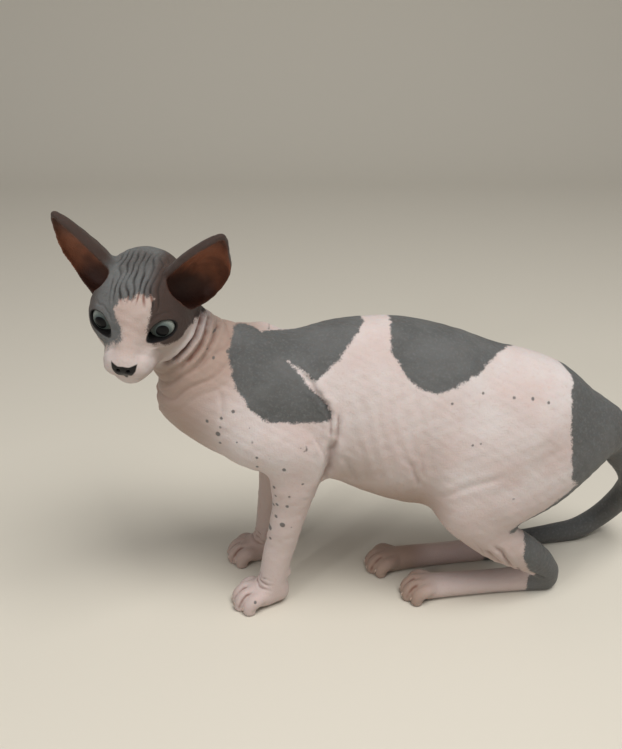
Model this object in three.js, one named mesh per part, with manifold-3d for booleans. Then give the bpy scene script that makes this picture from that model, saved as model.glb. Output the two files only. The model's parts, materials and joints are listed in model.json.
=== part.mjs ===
// A young two-coloured sphynx cat, life size, as a still model: forelegs upright, hind legs
// crouched on their hocks, head turned to its left, tail laid forward on the floor behind it.
// Millimetres. +Z is up, the floor is Z = 0, the cat faces -X and its left side is -Y.
// One smooth form of limbs and lumps is modelled whole and then parted with thin flat cuts.
import * as THREE from 'three';
import { mergeVertices } from 'three/addons/utils/BufferGeometryUtils.js';
import Module from 'manifold-3d';

// Driving dimensions
const GAP = 0.3;
const SHORTEST_EDGE = 0.03;
const HEAD_AT = [-122.4, -25, 265.3];
const HEAD_TURN = { yaw: 83, pitch: 17.7, roll: -7.2 };
const EYE_RADIUS = 10;
const EYE_CENTRE = [20, 18.6, 0.2];
const LID_THICKNESS = 1.5;
const LID_OPENING = { width: 19.8, height: 16 };
const EAR_WALL = 1.9;
const EAR_CUT = 3;
const WRIST_HEIGHT = 30;
const HOCK_HEIGHT = 27;
const FAR_HIND_SHIFT = -28;
const SOLE_SINK = 1.2;

const LEFT = -1;
const RIGHT = 1;
const SIDES = [[LEFT, 'left'], [RIGHT, 'right']];

const wasm = await Module();
wasm.setup();

// Small vector and number helpers
const vec = (x, y, z) => new THREE.Vector3(x, y, z);
const mix = (a, b, t) => a + (b - a) * t;
const clamp = (v, lo, hi) => Math.min(Math.max(v, lo), hi);
const rad = THREE.MathUtils.degToRad;

function smoothMin(a, b, k) {
  const h = Math.max(k - Math.abs(a - b), 0) / k;
  return Math.min(a, b) - h * h * k * 0.25;
}

// The head has a frame of its own: x forward, y to the cat's left, z up
const headTurn = new THREE.Matrix4().makeRotationZ(rad(180 + HEAD_TURN.yaw))
  .multiply(new THREE.Matrix4().makeRotationY(rad(HEAD_TURN.pitch)))
  .multiply(new THREE.Matrix4().makeRotationX(rad(HEAD_TURN.roll)));
const headTurnBack = headTurn.clone().invert();
const headPoint = (x, y, z) => vec(x, y, z).applyMatrix4(headTurn).add(vec(...HEAD_AT));
const headVector = (v) => v.clone().applyMatrix4(headTurn);

// A lump is an ellipsoid of the head, in the head's frame
function lump(centre, radii, blend) {
  const at = headPoint(...centre);
  const [rx, ry, rz] = radii;
  const q = vec(0, 0, 0);
  return {
    blend,
    at,
    reach: Math.max(rx, ry, rz),
    distance(p) {
      q.copy(p).sub(at).applyMatrix4(headTurnBack);
      const k0 = Math.hypot(q.x / rx, q.y / ry, q.z / rz);
      const k1 = Math.hypot(q.x / (rx * rx), q.y / (ry * ry), q.z / (rz * rz));
      return k1 < 1e-9 ? -Math.min(rx, ry, rz) : k0 * (k0 - 1) / k1;
    },
  };
}

// Stations of a limb are [x, y, z, radius across, radius along the side axis]. The path is a
// Catmull-Rom curve, and the radii follow it smoothly.
function limbPath(stations, steps) {
  const points = stations.map(([x, y, z]) => vec(x, y, z));
  const curve = new THREE.CatmullRomCurve3(points, false, 'centripetal');
  const count = (stations.length - 1) * steps;
  const path = [];
  for (let i = 0; i <= count; i += 1) {
    const t = i / count;
    const seg = Math.min(Math.floor(t * (stations.length - 1)), stations.length - 2);
    const u = t * (stations.length - 1) - seg;
    const ease = u * u * (3 - 2 * u);
    const w = mix(u, ease, 0.35);
    const a = stations[seg];
    const b = stations[seg + 1];
    path.push({
      at: curve.getPoint(t),
      across: mix(a[3], b[3], w),
      side: mix(a[4] ?? a[3], b[4] ?? b[3], w),
    });
  }
  return path;
}

function limb(stations, side, blend, steps = 4) {
  const path = limbPath(stations, steps);
  const box = new THREE.Box3().setFromPoints(path.map((s) => s.at));
  const at = box.getCenter(vec(0, 0, 0));
  const reach = Math.max(...path.map((s) => s.at.distanceTo(at) + Math.max(s.across, s.side)));
  const links = path.slice(1).map((end, i) => {
    const start = path[i];
    const run = end.at.clone().sub(start.at);
    return { start, end, run, square: run.lengthSq() };
  });
  return {
    blend,
    at,
    reach,
    distance(p) {
      let best = Infinity;
      for (const { start, end, run, square } of links) {
        const px = p.x - start.at.x;
        const py = p.y - start.at.y;
        const pz = p.z - start.at.z;
        const t = clamp((px * run.x + py * run.y + pz * run.z) / square, 0, 1);
        const qx = px - t * run.x;
        const qy = py - t * run.y;
        const qz = pz - t * run.z;
        const a = mix(start.across, end.across, t);
        const b = mix(start.side, end.side, t);
        const along = qx * side.x + qy * side.y + qz * side.z;
        const rest = Math.max(qx * qx + qy * qy + qz * qz - along * along, 0);
        const k0 = Math.sqrt(rest / (a * a) + along * along / (b * b));
        const k1 = Math.sqrt(rest / a ** 4 + along * along / b ** 4);
        const d = k0 < 1e-6 ? -Math.min(a, b) : k0 * (k0 - 1) / k1;
        best = Math.min(best, d);
      }
      return best;
    },
  };
}

const headLimb = (stations, blend) => limb(
  stations.map(([x, y, z, ...radii]) => [...headPoint(x, y, z).toArray(), ...radii]),
  headVector(vec(0, 1, 0)),
  blend,
);

// The trunk is a run of upright egg-shaped sections: [x, top, bottom, half width, narrowing]
function trunk(sections, blend) {
  const first = sections[0][0];
  const last = sections[sections.length - 1][0];
  const at = vec((first + last) / 2, 0, 165);
  const slope = sections.map((s, i) => {
    const before = sections[Math.max(i - 1, 0)];
    const after = sections[Math.min(i + 1, sections.length - 1)];
    return s.map((v, j) => (after[j] - before[j]) / (after[0] - before[0]));
  });
  function section(x) {
    const clamped = clamp(x, first, last);
    let i = 0;
    while (i < sections.length - 2 && sections[i + 1][0] < clamped) i += 1;
    const run = sections[i + 1][0] - sections[i][0];
    const t = (clamped - sections[i][0]) / run;
    const h00 = 2 * t ** 3 - 3 * t ** 2 + 1;
    const h10 = t ** 3 - 2 * t ** 2 + t;
    const h01 = -2 * t ** 3 + 3 * t ** 2;
    const h11 = t ** 3 - t ** 2;
    return sections[i].map((v, j) => h00 * v + h10 * run * slope[i][j]
      + h01 * sections[i + 1][j] + h11 * run * slope[i + 1][j]);
  }
  return {
    blend,
    at,
    reach: (last - first) / 2 + 20,
    distance(p) {
      const [, top, bottom, half, narrowing] = section(p.x);
      const tall = (top - bottom) / 2;
      const z = p.z - (top + bottom) / 2;
      const y = p.y / (1 - narrowing * clamp(z / tall, -1.3, 1.3));
      const k0 = Math.hypot(y / half, z / tall);
      const k1 = Math.hypot(y / half ** 2, z / tall ** 2);
      const d = k0 < 1e-6 ? -Math.min(tall, half) : k0 * (k0 - 1) / k1;
      const past = Math.max(first - p.x, p.x - last, 0);
      return past > 0 ? Math.hypot(Math.max(d, 0), past) : d;
    },
  };
}

// Torso and neck
const torsoForms = () => [
  trunk([
    [-119, 186, 166, 9, 0], [-113, 197, 160, 20, 0], [-101, 212, 150, 30, 0.05],
    [-80, 224, 136, 38, 0.1], [-50, 229, 121, 43, 0.12], [-16, 231, 114, 47, 0.14],
    [15, 239, 110, 51, 0.14], [40, 242, 99, 54, 0.12], [65, 242, 90, 56, 0.12],
    [90, 238, 85, 55, 0.12], [115, 231, 87, 51, 0.12], [145, 220, 100, 45, 0.12],
    [175, 212, 114, 39, 0.1], [200, 201, 124, 33, 0.1], [225, 179, 131, 26, 0],
    [243, 158, 136, 15, 0], [250, 150, 142, 6, 0],
  ], 10),
];
const SIDEWAYS = vec(0, 1, 0);
const neckForms = () => [
  limb([[-55, 0, 188, 44, 40], [-80, -2, 206, 36, 34], [-100, -6, 229, 30, 29],
    [-112, -14, 250, 26, 26]], SIDEWAYS, 20),
];

// Forelegs: shoulder blade, point of the shoulder, upper arm and elbow, then the forearm
const FORELEG = {
  [LEFT]: {
    shoulder: [[-36, -17, 222, 8, 6], [-45, -26, 197, 19, 13], [-54, -31, 172, 24, 17],
      [-44, -36, 158, 23, 17], [-18, -38, 150, 20, 15], [-3, -38, 145, 15, 12]],
    forearm: [[-12, -38, 150, 20, 15], [-14, -36, 118, 18, 15], [-16, -34, 99, 14.8, 13],
      [-20, -33, 81, 13.3, 12], [-24, -31, 62, 12.6, 11], [-28, -30, 46, 12, 11],
      [-32, -29, 22, 11.3, 11.3]],
    paw: { x: -34, y: -28, turn: 14 },
  },
  [RIGHT]: {
    shoulder: [[-38, 17, 222, 8, 6], [-48, 26, 197, 19, 13], [-60, 31, 172, 24, 17],
      [-52, 36, 158, 23, 17], [-30, 38, 150, 20, 15], [-16, 38, 145, 15, 12]],
    forearm: [[-25, 38, 150, 20, 15], [-27, 37, 118, 18, 15], [-30, 36, 99, 14.8, 13],
      [-31, 36, 81, 13.3, 12], [-33, 36, 62, 12.6, 11], [-35, 36, 46, 12, 11],
      [-38, 36, 22, 11.3, 11.3]],
    paw: { x: -42, y: 35, turn: 8 },
  },
};
const forelegForms = (s) => [
  limb(FORELEG[s].shoulder, SIDEWAYS, 12),
  limb(FORELEG[s].forearm, SIDEWAYS, 10),
];

// A foot is built along its own line: f forward, l to the left, z up
function footFrame(x, y, fx, fy) {
  const at = (f, l, z) => [x + f * fx - l * fy, y + f * fy + l * fx, z - SOLE_SINK];
  return { at, side: vec(-fy, fx, 0) };
}

// Toes: [sideways, forward, radius] of each, two long ones between two short ones
const FORE_TOES = [[-12.5, 21, 6], [-4.4, 26.5, 6.6], [4.4, 26.5, 6.6], [12.5, 21, 6]];
const HIND_TOES = [[-11.8, -13.5, 5.6], [-4.1, -8, 6.2], [4.1, -8, 6.2], [11.8, -13.5, 5.6]];

function forepawForms(s) {
  const { x, y, turn } = FORELEG[s].paw;
  const { at, side } = footFrame(x, y, -Math.cos(rad(turn)), -Math.sin(rad(turn)));
  const pad = limb([[...at(-5, 0, 13), 10.5, 11], [...at(6, 0, 12), 11.5, 13.5],
    [...at(14, 0, 11), 10, 14]], side, 6);
  const toes = FORE_TOES.map(([l, f, r]) => limb([
    [...at(f * 0.35, l * 0.75, 13), r * 0.9, r * 0.9],
    [...at(f * 0.8, l * 0.97, 12.5), r, r],
    [...at(f * 0.98, l, 9.5), r * 0.95, r * 0.95],
    [...at(f * 1.02, l, 6), r * 0.85, r * 0.9],
  ], side, 2.5, 3));
  return [pad, ...toes];
}

// Hind legs, crouched: thigh, ham, and shank down to the hock. Widths are mirrored by the side.
const THIGH = [[185, 20, 165, 36, 14], [160, 28, 150, 46, 24], [138, 35, 127, 38, 22],
  [124, 38, 106, 26, 19], [121, 38, 94, 18, 16]];
const HAM = {
  [LEFT]: [[226, 13, 152, 24, 15], [206, 21, 139, 27, 19], [178, 31, 118, 27, 20],
    [152, 36, 99, 22, 18]],
  [RIGHT]: [[254, 13, 147, 22, 15], [238, 21, 129, 26, 19], [207, 31, 107, 27, 20],
    [170, 36, 93, 22, 18]],
};
const SHANK = {
  [LEFT]: [[122, 38, 94, 18, 16], [132, 38, 80, 18, 16], [152, 35, 63, 17.5, 14.5],
    [172, 31, 49, 15.5, 12.5], [188, 24, 35, 12.8, 11], [198, 17, 21, 11.2, 11]],
  [RIGHT]: [[122, 38, 94, 18, 16], [132, 38, 80, 18, 16], [152, 36, 63, 17.5, 14.5],
    [172, 34, 49, 15.5, 12.5], [188, 31, 35, 12.8, 11], [198, 29, 21, 11.2, 11]],
};
const HIND_FOOT = {
  [LEFT]: { heel: [207, -12], toe: [73, -25] },
  [RIGHT]: { heel: [178, 32], toe: [46, 13] },
};
const hindShift = (s) => (s === RIGHT ? FAR_HIND_SHIFT : 0);
const placeHind = (stations, s) => stations.map(
  ([x, y, z, a, b]) => [x + hindShift(s), s * y, z, a, b],
);
const thighForms = (s) => [
  limb(placeHind(THIGH, s), SIDEWAYS, 18),
  limb(placeHind(HAM[s], s), SIDEWAYS, 14),
];
const shankForms = (s) => [limb(placeHind(SHANK[s], s), SIDEWAYS, 12)];

function hindFootForms(s) {
  const { heel, toe } = HIND_FOOT[s];
  const length = Math.hypot(toe[0] - heel[0], toe[1] - heel[1]);
  const fx = (toe[0] - heel[0]) / length;
  const fy = (toe[1] - heel[1]) / length;
  const { at, side } = footFrame(heel[0], heel[1], fx, fy);
  const sole = limb([
    [...at(8, 0, 12.2), 12, 10.5], [...at(20, 0, 11.9), 11.5, 10], [...at(45, 0, 10.9), 10, 9.5],
    [...at(length - 42, 0, 10.5), 9.8, 11], [...at(length - 24, 0, 10), 9.5, 12.5],
  ], side, 6);
  const toes = HIND_TOES.map(([l, f, r]) => limb([
    [...at(length - 28, l * 0.7, 12), r * 0.9, r * 0.9],
    [...at(length + f * 0.5 - 11, l * 0.97, 12), r, r],
    [...at(length + f - 2, l, 9), r * 0.95, r * 0.95],
    [...at(length + f, l, 6), r * 0.85, r * 0.9],
  ], side, 2.5, 3));
  return [sole, ...toes];
}

// Tail, from the rump down to the floor and forward along it
const TAIL = [[224, 0, 152, 17], [245, 5, 134, 14.6], [262, 14, 113, 13], [276, 28, 91, 11.6],
  [285, 44, 68, 10.8], [281, 57, 42, 10.2], [267, 63.5, 20, 9.6], [248, 61, 9.2, 9.6],
  [226, 56, 8, 8.6], [203, 52, 7, 7.6], [180, 50, 5.8, 6.4], [160, 49, 4.4, 5]];
const tailForm = () => limb(TAIL, SIDEWAYS, 12);

// Head: skull, cheeks, snout, whisker pads, chin and jaw
const mirrored = (make) => [1, -1].map(make);
const headForms = () => [
  lump([-8, 0, 6], [36, 31, 27], 6),
  lump([8, 0, 6], [27, 29, 20], 14),
  ...mirrored((m) => lump([9, m * 15.6, -7.5], [22, 18.4, 15.4], 14)),
  headLimb([[14, 0, -6, 18, 23], [32, 0, -11, 12, 17], [45, 0, -16, 8.5, 12]], 14),
  headLimb([[22, 0, 8, 9, 9], [40, 0, -5, 6.5, 6.5], [51, 0, -12.5, 4.2, 5.6]], 8),
  ...mirrored((m) => lump([42, m * 8.2, -21.5], [12.5, 9, 8.6], 8)),
  headLimb([[24, 0, -28, 8.5, 12], [42, 0, -34, 6.4, 8.5]], 6),
  ...mirrored((m) => headLimb([[-10, m * 20, -18, 9, 8], [12, m * 17, -23, 8, 7],
    [34, m * 8, -28, 7, 6]], 12)),
  lump([53.5, 0, -16.5], [4.2, 6.4, 4.4], 3),
  ...mirrored((m) => lump(eyeCentre(m, 0.4), Array(3).fill(EYE_RADIUS + LID_THICKNESS), 5)),
];

// Eyes look a little outward. m is +1 for the left eye and -1 for the right one.
function gaze(m) {
  return vec(Math.cos(rad(17)), m * Math.sin(rad(17)), 0.06).normalize();
}
function eyeCentre(m, forward = 0) {
  const [x, y, z] = EYE_CENTRE;
  return vec(x, m * y, z).addScaledVector(gaze(m), forward).toArray();
}

// Ears. Rows of [height, sideways shift, half width, half depth] up the ear.
const EAR_BASE = [-5, 29.5, 18];
const EAR_TIP = [2.6, 57.3, 67.2];
const EAR_FACING = [0.8, 0.5, -0.32];
const EAR_ROWS = [[-12, 5, 20, 12], [-4, 6.8, 24.6, 13], [6, 6.5, 25.4, 13], [16, 4.8, 23.2, 11.5],
  [28, 2.2, 18, 9], [39, 1, 13, 6.8], [47, 0.5, 8.8, 5], [53, 0, 5, 3.2]];
const EAR_CUP_SHIFT = 3.8;
const EAR_CUP_ASIDE = -0.8;
const EAR_HEIGHT = 53;

function earFrame(m) {
  const flip = vec(1, m, 1);
  const base = vec(...EAR_BASE).multiply(flip);
  const up = vec(...EAR_TIP).multiply(flip).sub(base).normalize();
  const facing = vec(...EAR_FACING).multiply(flip);
  facing.addScaledVector(up, -facing.dot(up)).normalize();
  const across = up.clone().cross(facing);
  if (across.y * m < 0) across.negate();
  return { base, up, facing, across };
}
function earStation(m, [height, sideways, half, depth], forward) {
  const { base, up, facing, across } = earFrame(m);
  const at = base.clone().addScaledVector(up, height).addScaledVector(across, sideways)
    .addScaledVector(facing, forward);
  return [...headPoint(...at.toArray()).toArray(), half, depth];
}
const earForm = (m) => limb(
  EAR_ROWS.map((row) => earStation(m, row, 0)),
  headVector(earFrame(m).facing),
  6,
);

// A field joins forms by smooth minimum. Forms too far from the point are passed over.
function fieldOf(forms) {
  const slack = 25;
  return (p) => {
    let d = Infinity;
    for (const form of forms) {
      const away = p.distanceTo(form.at) - form.reach;
      if (away > d + form.blend || away > slack + form.blend) continue;
      const e = form.distance(p);
      d = d === Infinity ? e : smoothMin(d, e, form.blend);
    }
    return d === Infinity ? slack : d;
  };
}

// Works a solid out at once, and stops where it is not closed
function worked(solid) {
  if (solid.status() !== 'NoError') throw new Error(`not closed: ${solid.status()}`);
  return solid;
}

// Surface of a field on a lattice turned by "turn" about "centre": one vertex in each cell that
// the surface crosses, one quad at each lattice edge that it crosses.
function surfaceOf(field, { centre, size, cell, turn = new THREE.Matrix4() }) {
  const origin = vec(...centre);
  const steps = size.map((s, i) => Math.ceil(s / cell[i]));
  const count = steps.map((n) => n + 1);
  const toWorld = (x, y, z) => vec(
    (x - steps[0] / 2) * cell[0],
    (y - steps[1] / 2) * cell[1],
    (z - steps[2] / 2) * cell[2],
  ).applyMatrix4(turn).add(origin);
  const index = (x, y, z) => x + count[0] * (y + count[1] * z);
  const values = new Float64Array(count[0] * count[1] * count[2]);
  for (let z = 0; z < count[2]; z += 1) {
    for (let y = 0; y < count[1]; y += 1) {
      for (let x = 0; x < count[0]; x += 1) {
        const rim = x === 0 || y === 0 || z === 0
          || x === steps[0] || y === steps[1] || z === steps[2];
        const d = field(toWorld(x, y, z));
        values[index(x, y, z)] = rim ? Math.max(d, cell[0] * 0.5) : d;
      }
    }
  }
  const corners = [];
  for (let c = 0; c < 8; c += 1) corners.push([c & 1, (c >> 1) & 1, (c >> 2) & 1]);
  const edges = [[0, 1], [2, 3], [4, 5], [6, 7], [0, 2], [1, 3], [4, 6], [5, 7],
    [0, 4], [1, 5], [2, 6], [3, 7]];
  const positions = [];
  const vertexOf = new Map();
  for (let z = 0; z < steps[2]; z += 1) {
    for (let y = 0; y < steps[1]; y += 1) {
      for (let x = 0; x < steps[0]; x += 1) {
        const d = corners.map(([i, j, k]) => values[index(x + i, y + j, z + k)]);
        const sum = vec(0, 0, 0);
        let crossed = 0;
        for (const [a, b] of edges) {
          if ((d[a] < 0) !== (d[b] < 0)) {
            const t = d[a] / (d[a] - d[b]);
            sum.x += x + mix(corners[a][0], corners[b][0], t);
            sum.y += y + mix(corners[a][1], corners[b][1], t);
            sum.z += z + mix(corners[a][2], corners[b][2], t);
            crossed += 1;
          }
        }
        if (crossed > 0) {
          sum.divideScalar(crossed);
          vertexOf.set(index(x, y, z), positions.length);
          positions.push(toWorld(sum.x, sum.y, sum.z));
        }
      }
    }
  }
  settle(positions, field, Math.min(...cell) * 0.35);
  const triangles = [];
  const quad = (a, b, c, d, flip) => {
    const [p, q, r, s] = [a, b, c, d].map((key) => vertexOf.get(key));
    const turned = flip ? [p, s, r, q] : [p, q, r, s];
    const shortFirst = positions[turned[0]].distanceTo(positions[turned[2]])
      <= positions[turned[1]].distanceTo(positions[turned[3]]);
    const [i, j, k, l] = shortFirst ? turned : [...turned.slice(1), turned[0]];
    triangles.push(i, j, k, i, k, l);
  };
  for (let z = 0; z < steps[2]; z += 1) {
    for (let y = 0; y < steps[1]; y += 1) {
      for (let x = 0; x < steps[0]; x += 1) {
        const here = values[index(x, y, z)] < 0;
        if (y > 0 && z > 0 && here !== values[index(x + 1, y, z)] < 0) {
          quad(index(x, y - 1, z - 1), index(x, y, z - 1), index(x, y, z),
            index(x, y - 1, z), !here);
        }
        if (x > 0 && z > 0 && here !== values[index(x, y + 1, z)] < 0) {
          quad(index(x - 1, y, z - 1), index(x, y, z - 1), index(x, y, z),
            index(x - 1, y, z), here);
        }
        if (x > 0 && y > 0 && here !== values[index(x, y, z + 1)] < 0) {
          quad(index(x - 1, y - 1, z), index(x, y - 1, z), index(x, y, z),
            index(x - 1, y, z), !here);
        }
      }
    }
  }
  const geometry = new THREE.BufferGeometry();
  const flat = positions.flatMap((p) => p.toArray());
  geometry.setAttribute('position', new THREE.Float32BufferAttribute(flat, 3));
  geometry.setIndex(triangles);
  return solidOf(geometry);
}

// Moves each vertex along the field's slope onto the surface, by at most "limit"
function settle(positions, field, limit) {
  const h = 0.5;
  for (const p of positions) {
    const d = field(p);
    const slope = vec(
      field(vec(p.x + h, p.y, p.z)) - field(vec(p.x - h, p.y, p.z)),
      field(vec(p.x, p.y + h, p.z)) - field(vec(p.x, p.y - h, p.z)),
      field(vec(p.x, p.y, p.z + h)) - field(vec(p.x, p.y, p.z - h)),
    ).divideScalar(2 * h);
    const square = slope.lengthSq();
    if (square > 0.05) p.addScaledVector(slope, clamp(-d / square, -limit, limit));
  }
}

// Closed geometry to solid and back
function solidOf(geometry) {
  const bare = geometry.clone();
  bare.deleteAttribute('normal');
  bare.deleteAttribute('uv');
  const merged = mergeVertices(bare, 1e-4);
  return new wasm.Manifold(new wasm.Mesh({
    numProp: 3,
    vertProperties: new Float32Array(merged.attributes.position.array),
    triVerts: new Uint32Array(merged.index.array),
  }));
}
function largest(solid) {
  return solid.decompose().reduce((a, b) => (a.volume() > b.volume() ? a : b));
}
function geometryOf(solid) {
  const mesh = solid.getMesh();
  const geometry = new THREE.BufferGeometry();
  const positions = new THREE.Float32BufferAttribute(mesh.vertProperties, 3);
  geometry.setAttribute('position', positions);
  geometry.setIndex(new THREE.BufferAttribute(new Uint32Array(mesh.triVerts), 1));
  geometry.computeVertexNormals();
  return geometry;
}

// A plane is a point and an outward normal. Its half space is the side the normal leaves.
const REACH = 1000;
const plane = (point, normal) => ({ point: vec(...point), normal: vec(...normal).normalize() });
const other = ({ point, normal }) => ({ point, normal: normal.clone().negate() });
function halfSpace({ point, normal }, grow) {
  const box = new THREE.BoxGeometry(REACH, REACH, REACH);
  const turn = new THREE.Quaternion().setFromUnitVectors(vec(0, 0, 1), normal);
  const centre = point.clone().addScaledVector(normal, grow - REACH / 2);
  box.applyMatrix4(new THREE.Matrix4().compose(centre, turn, vec(1, 1, 1)));
  return solidOf(box);
}
const region = (planes, grow) => planes.map((p) => halfSpace(p, grow))
  .reduce((a, b) => a.intersect(b));
const within = (solid, planes) => largest(solid.intersect(region(planes, -GAP / 2)));
const FLOOR = { point: vec(0, 0, -GAP / 2), normal: vec(0, 0, -1) };

// Where the body is parted
const NECK_TOP = plane([-97, -6, 225], [0.57, 0.22, -0.79]);
const NECK_BASE = plane([-88, 0, 196], [0.6, 0, -0.8]);
const WRIST = plane([0, 0, WRIST_HEIGHT], [0, 0, 1]);
const HOCK = plane([0, 0, HOCK_HEIGHT], [0, 0, 1]);
const KNEE = (s) => plane([108 + hindShift(s), 0, 80], [-0.18, 0, 0.98]);
const TAIL_ROOT = plane([240, 4, 140], [0.6, 0.18, -0.78]);
const forelegRegion = (s) => [
  plane([0, s * 36.5, 126], [0, -s * 0.6, 0.8]),
  plane([18, 0, 140], [0.94, 0, -0.34]),
  plane([0, s * 8, 0], [0, -s, 0]),
  plane([-78, 0, 0], [-1, 0, 0]),
];
const hindRegion = (s) => [
  plane([0, s * 8, 70], [0, -s * 0.964, 0.267]),
  plane([86 + hindShift(s), 0, 132], [-0.95, 0, -0.31]),
  plane([165, 0, 190], [0.25, 0, 0.97]),
];

// Colours of the skin, the eyes and the dark patches
const finish = (colour, roughness) => new THREE.MeshStandardMaterial({
  color: colour,
  roughness,
  metalness: 0,
});
const PINK = 0xdfb9ae;
const WARM = 0xcfa496;
const SLATE = 0x5d5654;
const DARK = 0x4a3a38;
const IRIS = 0x9fb0b5;


// Sections swept along a path of { at, across, side } close with rounded or flat ends
function sweep(path, axesAt, sides, roundStart, roundEnd) {
  const rings = [];
  const ring = (at, axes, across, side) => {
    const points = [];
    for (let i = 0; i < sides; i += 1) {
      const angle = (2 * Math.PI * i) / sides;
      points.push(at.clone()
        .addScaledVector(axes.across, across * Math.cos(angle))
        .addScaledVector(axes.side, side * Math.sin(angle)));
    }
    rings.push(points);
  };
  const cap = (end, axes, sign, angles) => angles.forEach((angle) => {
    const out = Math.sin(angle) * Math.min(end.across, end.side) * sign;
    const at = end.at.clone().addScaledVector(axes.along, out);
    ring(at, axes, end.across * Math.cos(angle), end.side * Math.cos(angle));
  });
  const last = path.length - 1;
  if (roundStart) cap(path[0], axesAt(0), -1, [rad(75), rad(40)]);
  path.forEach((s, i) => ring(s.at, axesAt(i), s.across, s.side));
  if (roundEnd) cap(path[last], axesAt(last), 1, [rad(40), rad(75)]);
  const middle = (points) => points
    .reduce((sum, p) => sum.add(p), vec(0, 0, 0)).divideScalar(points.length);
  const points = [...rings.flat(), middle(rings[0]), middle(rings[rings.length - 1])];
  const index = [];
  const tail = rings.length - 1;
  for (let i = 0; i < sides; i += 1) {
    const j = (i + 1) % sides;
    for (let r = 0; r < tail; r += 1) {
      const [a, b] = [r * sides, (r + 1) * sides];
      index.push(a + i, a + j, b + j, a + i, b + j, b + i);
    }
    index.push(points.length - 2, j, i);
    index.push(points.length - 1, tail * sides + i, tail * sides + j);
  }
  const geometry = new THREE.BufferGeometry();
  const flat = points.flatMap((p) => p.toArray());
  geometry.setAttribute('position', new THREE.Float32BufferAttribute(flat, 3));
  geometry.setIndex(index);
  const solid = solidOf(geometry);
  if (solid.volume() > 0) return solid;
  for (let i = 0; i < index.length; i += 3) [index[i], index[i + 1]] = [index[i + 1], index[i]];
  geometry.setIndex(index);
  return solidOf(geometry);
}

const cat = new THREE.Group();
function add(name, solid, colour, roughness = 0.6) {
  const shape = geometryOf(largest(solid).simplify(SHORTEST_EDGE));
  const mesh = new THREE.Mesh(shape, finish(colour, roughness));
  mesh.name = name;
  cat.add(mesh);
}

// Torso and neck
const trunkForms = [...torsoForms(), ...neckForms(), ...SIDES.flatMap(([s]) => [
  ...forelegForms(s), ...thighForms(s)]), tailForm()];
function makeTorso() {
  let solid = surfaceOf(fieldOf(trunkForms), {
    centre: [70, 0, 155],
    size: [400, 150, 200],
    cell: [14.5, 12, 12],
  });
  solid = solid.intersect(region([other(NECK_BASE), TAIL_ROOT], -GAP / 2));
  for (const [s] of SIDES) {
    solid = solid.subtract(region(forelegRegion(s), GAP / 2));
    solid = solid.subtract(region(hindRegion(s), GAP / 2));
    solid = solid.subtract(region([KNEE(s), plane([0, 0, 0], [0, -s, 0])], GAP / 2));
  }
  return solid;
}
function makeNeck() {
  const solid = surfaceOf(fieldOf([...trunkForms, ...headForms()]), {
    centre: [-90, -5, 215],
    size: [120, 130, 140],
    cell: [9.4, 9.4, 9.4],
  });
  return within(solid, [other(NECK_TOP), NECK_BASE]);
}
add('torso', makeTorso(), PINK);
add('neck', makeNeck(), PINK);

// Ears: an outer horn less an inner cup that opens forward, both above the cut at its base
function earSweep(m, rows, forward, rounded) {
  const { up, facing, across } = earFrame(m);
  const axes = { along: headVector(up), side: headVector(facing), across: headVector(across) };
  const path = limbPath(rows.map((row) => earStation(m, row, forward)), 2);
  return sweep(path, () => axes, 14, rounded, true);
}
function earCup(m) {
  const rows = EAR_ROWS.slice(2).map(([height, sideways, half, depth]) => {
    const aside = EAR_CUP_ASIDE * (1 - height / EAR_HEIGHT);
    const inner = half - EAR_WALL - aside;
    return [height - 1, sideways + aside, inner, depth + EAR_CUP_SHIFT - EAR_WALL];
  });
  return earSweep(m, rows, EAR_CUP_SHIFT, true);
}
function earPlane(m) {
  const { base, up } = earFrame(m);
  const point = headPoint(...base.clone().addScaledVector(up, EAR_CUT).toArray());
  return plane(point.toArray(), headVector(up).toArray());
}
const makeEar = (m) => within(
  earSweep(m, EAR_ROWS, 0, false).subtract(earCup(m)),
  [other(earPlane(m))],
);

// Eye openings: an almond outline that dips to the inner corner, cut along the gaze
function lidOpening(m) {
  const half = LID_OPENING.width / 2;
  const tall = LID_OPENING.height / 2;
  const outline = new THREE.Shape();
  outline.moveTo(-half, -0.3 * tall);
  outline.bezierCurveTo(-0.62 * half, 0.9 * tall, -0.2 * half, tall, 0.1 * half, tall);
  outline.bezierCurveTo(0.6 * half, tall, half, 0.62 * tall, half, 0.1 * tall);
  outline.bezierCurveTo(half, -0.62 * tall, 0.5 * half, -tall, 0, -tall);
  outline.bezierCurveTo(-0.5 * half, -tall, -0.8 * half, -0.75 * tall, -half, -0.3 * tall);
  const depth = 2 * EYE_RADIUS;
  const geometry = new THREE.ExtrudeGeometry(outline, {
    depth,
    curveSegments: 5,
    bevelEnabled: false,
  });
  const along = gaze(m);
  const across = vec(-0.32, m * 0.93, 0.22);
  across.addScaledVector(along, -across.dot(along)).normalize();
  const up = along.clone().cross(across).multiplyScalar(m);
  const basis = new THREE.Matrix4().makeBasis(across, up, along);
  geometry.applyMatrix4(basis);
  geometry.applyMatrix4(headTurn);
  const at = headPoint(...eyeCentre(m, 3));
  geometry.translate(at.x, at.y, at.z);
  if (basis.determinant() < 0) flipFaces(geometry);
  return solidOf(geometry);
}
function flipFaces(geometry) {
  const flat = geometry.index ? geometry.toNonIndexed() : geometry;
  const p = flat.attributes.position;
  for (let i = 0; i < p.count; i += 3) {
    const [x, y, z] = [p.getX(i), p.getY(i), p.getZ(i)];
    p.setXYZ(i, p.getX(i + 1), p.getY(i + 1), p.getZ(i + 1));
    p.setXYZ(i + 1, x, y, z);
  }
}
function ball(centre, radius, rings) {
  const sphere = new THREE.SphereGeometry(radius, rings * 2, rings);
  sphere.rotateX(Math.PI / 2);
  sphere.translate(centre.x, centre.y, centre.z);
  return solidOf(sphere);
}

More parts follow.
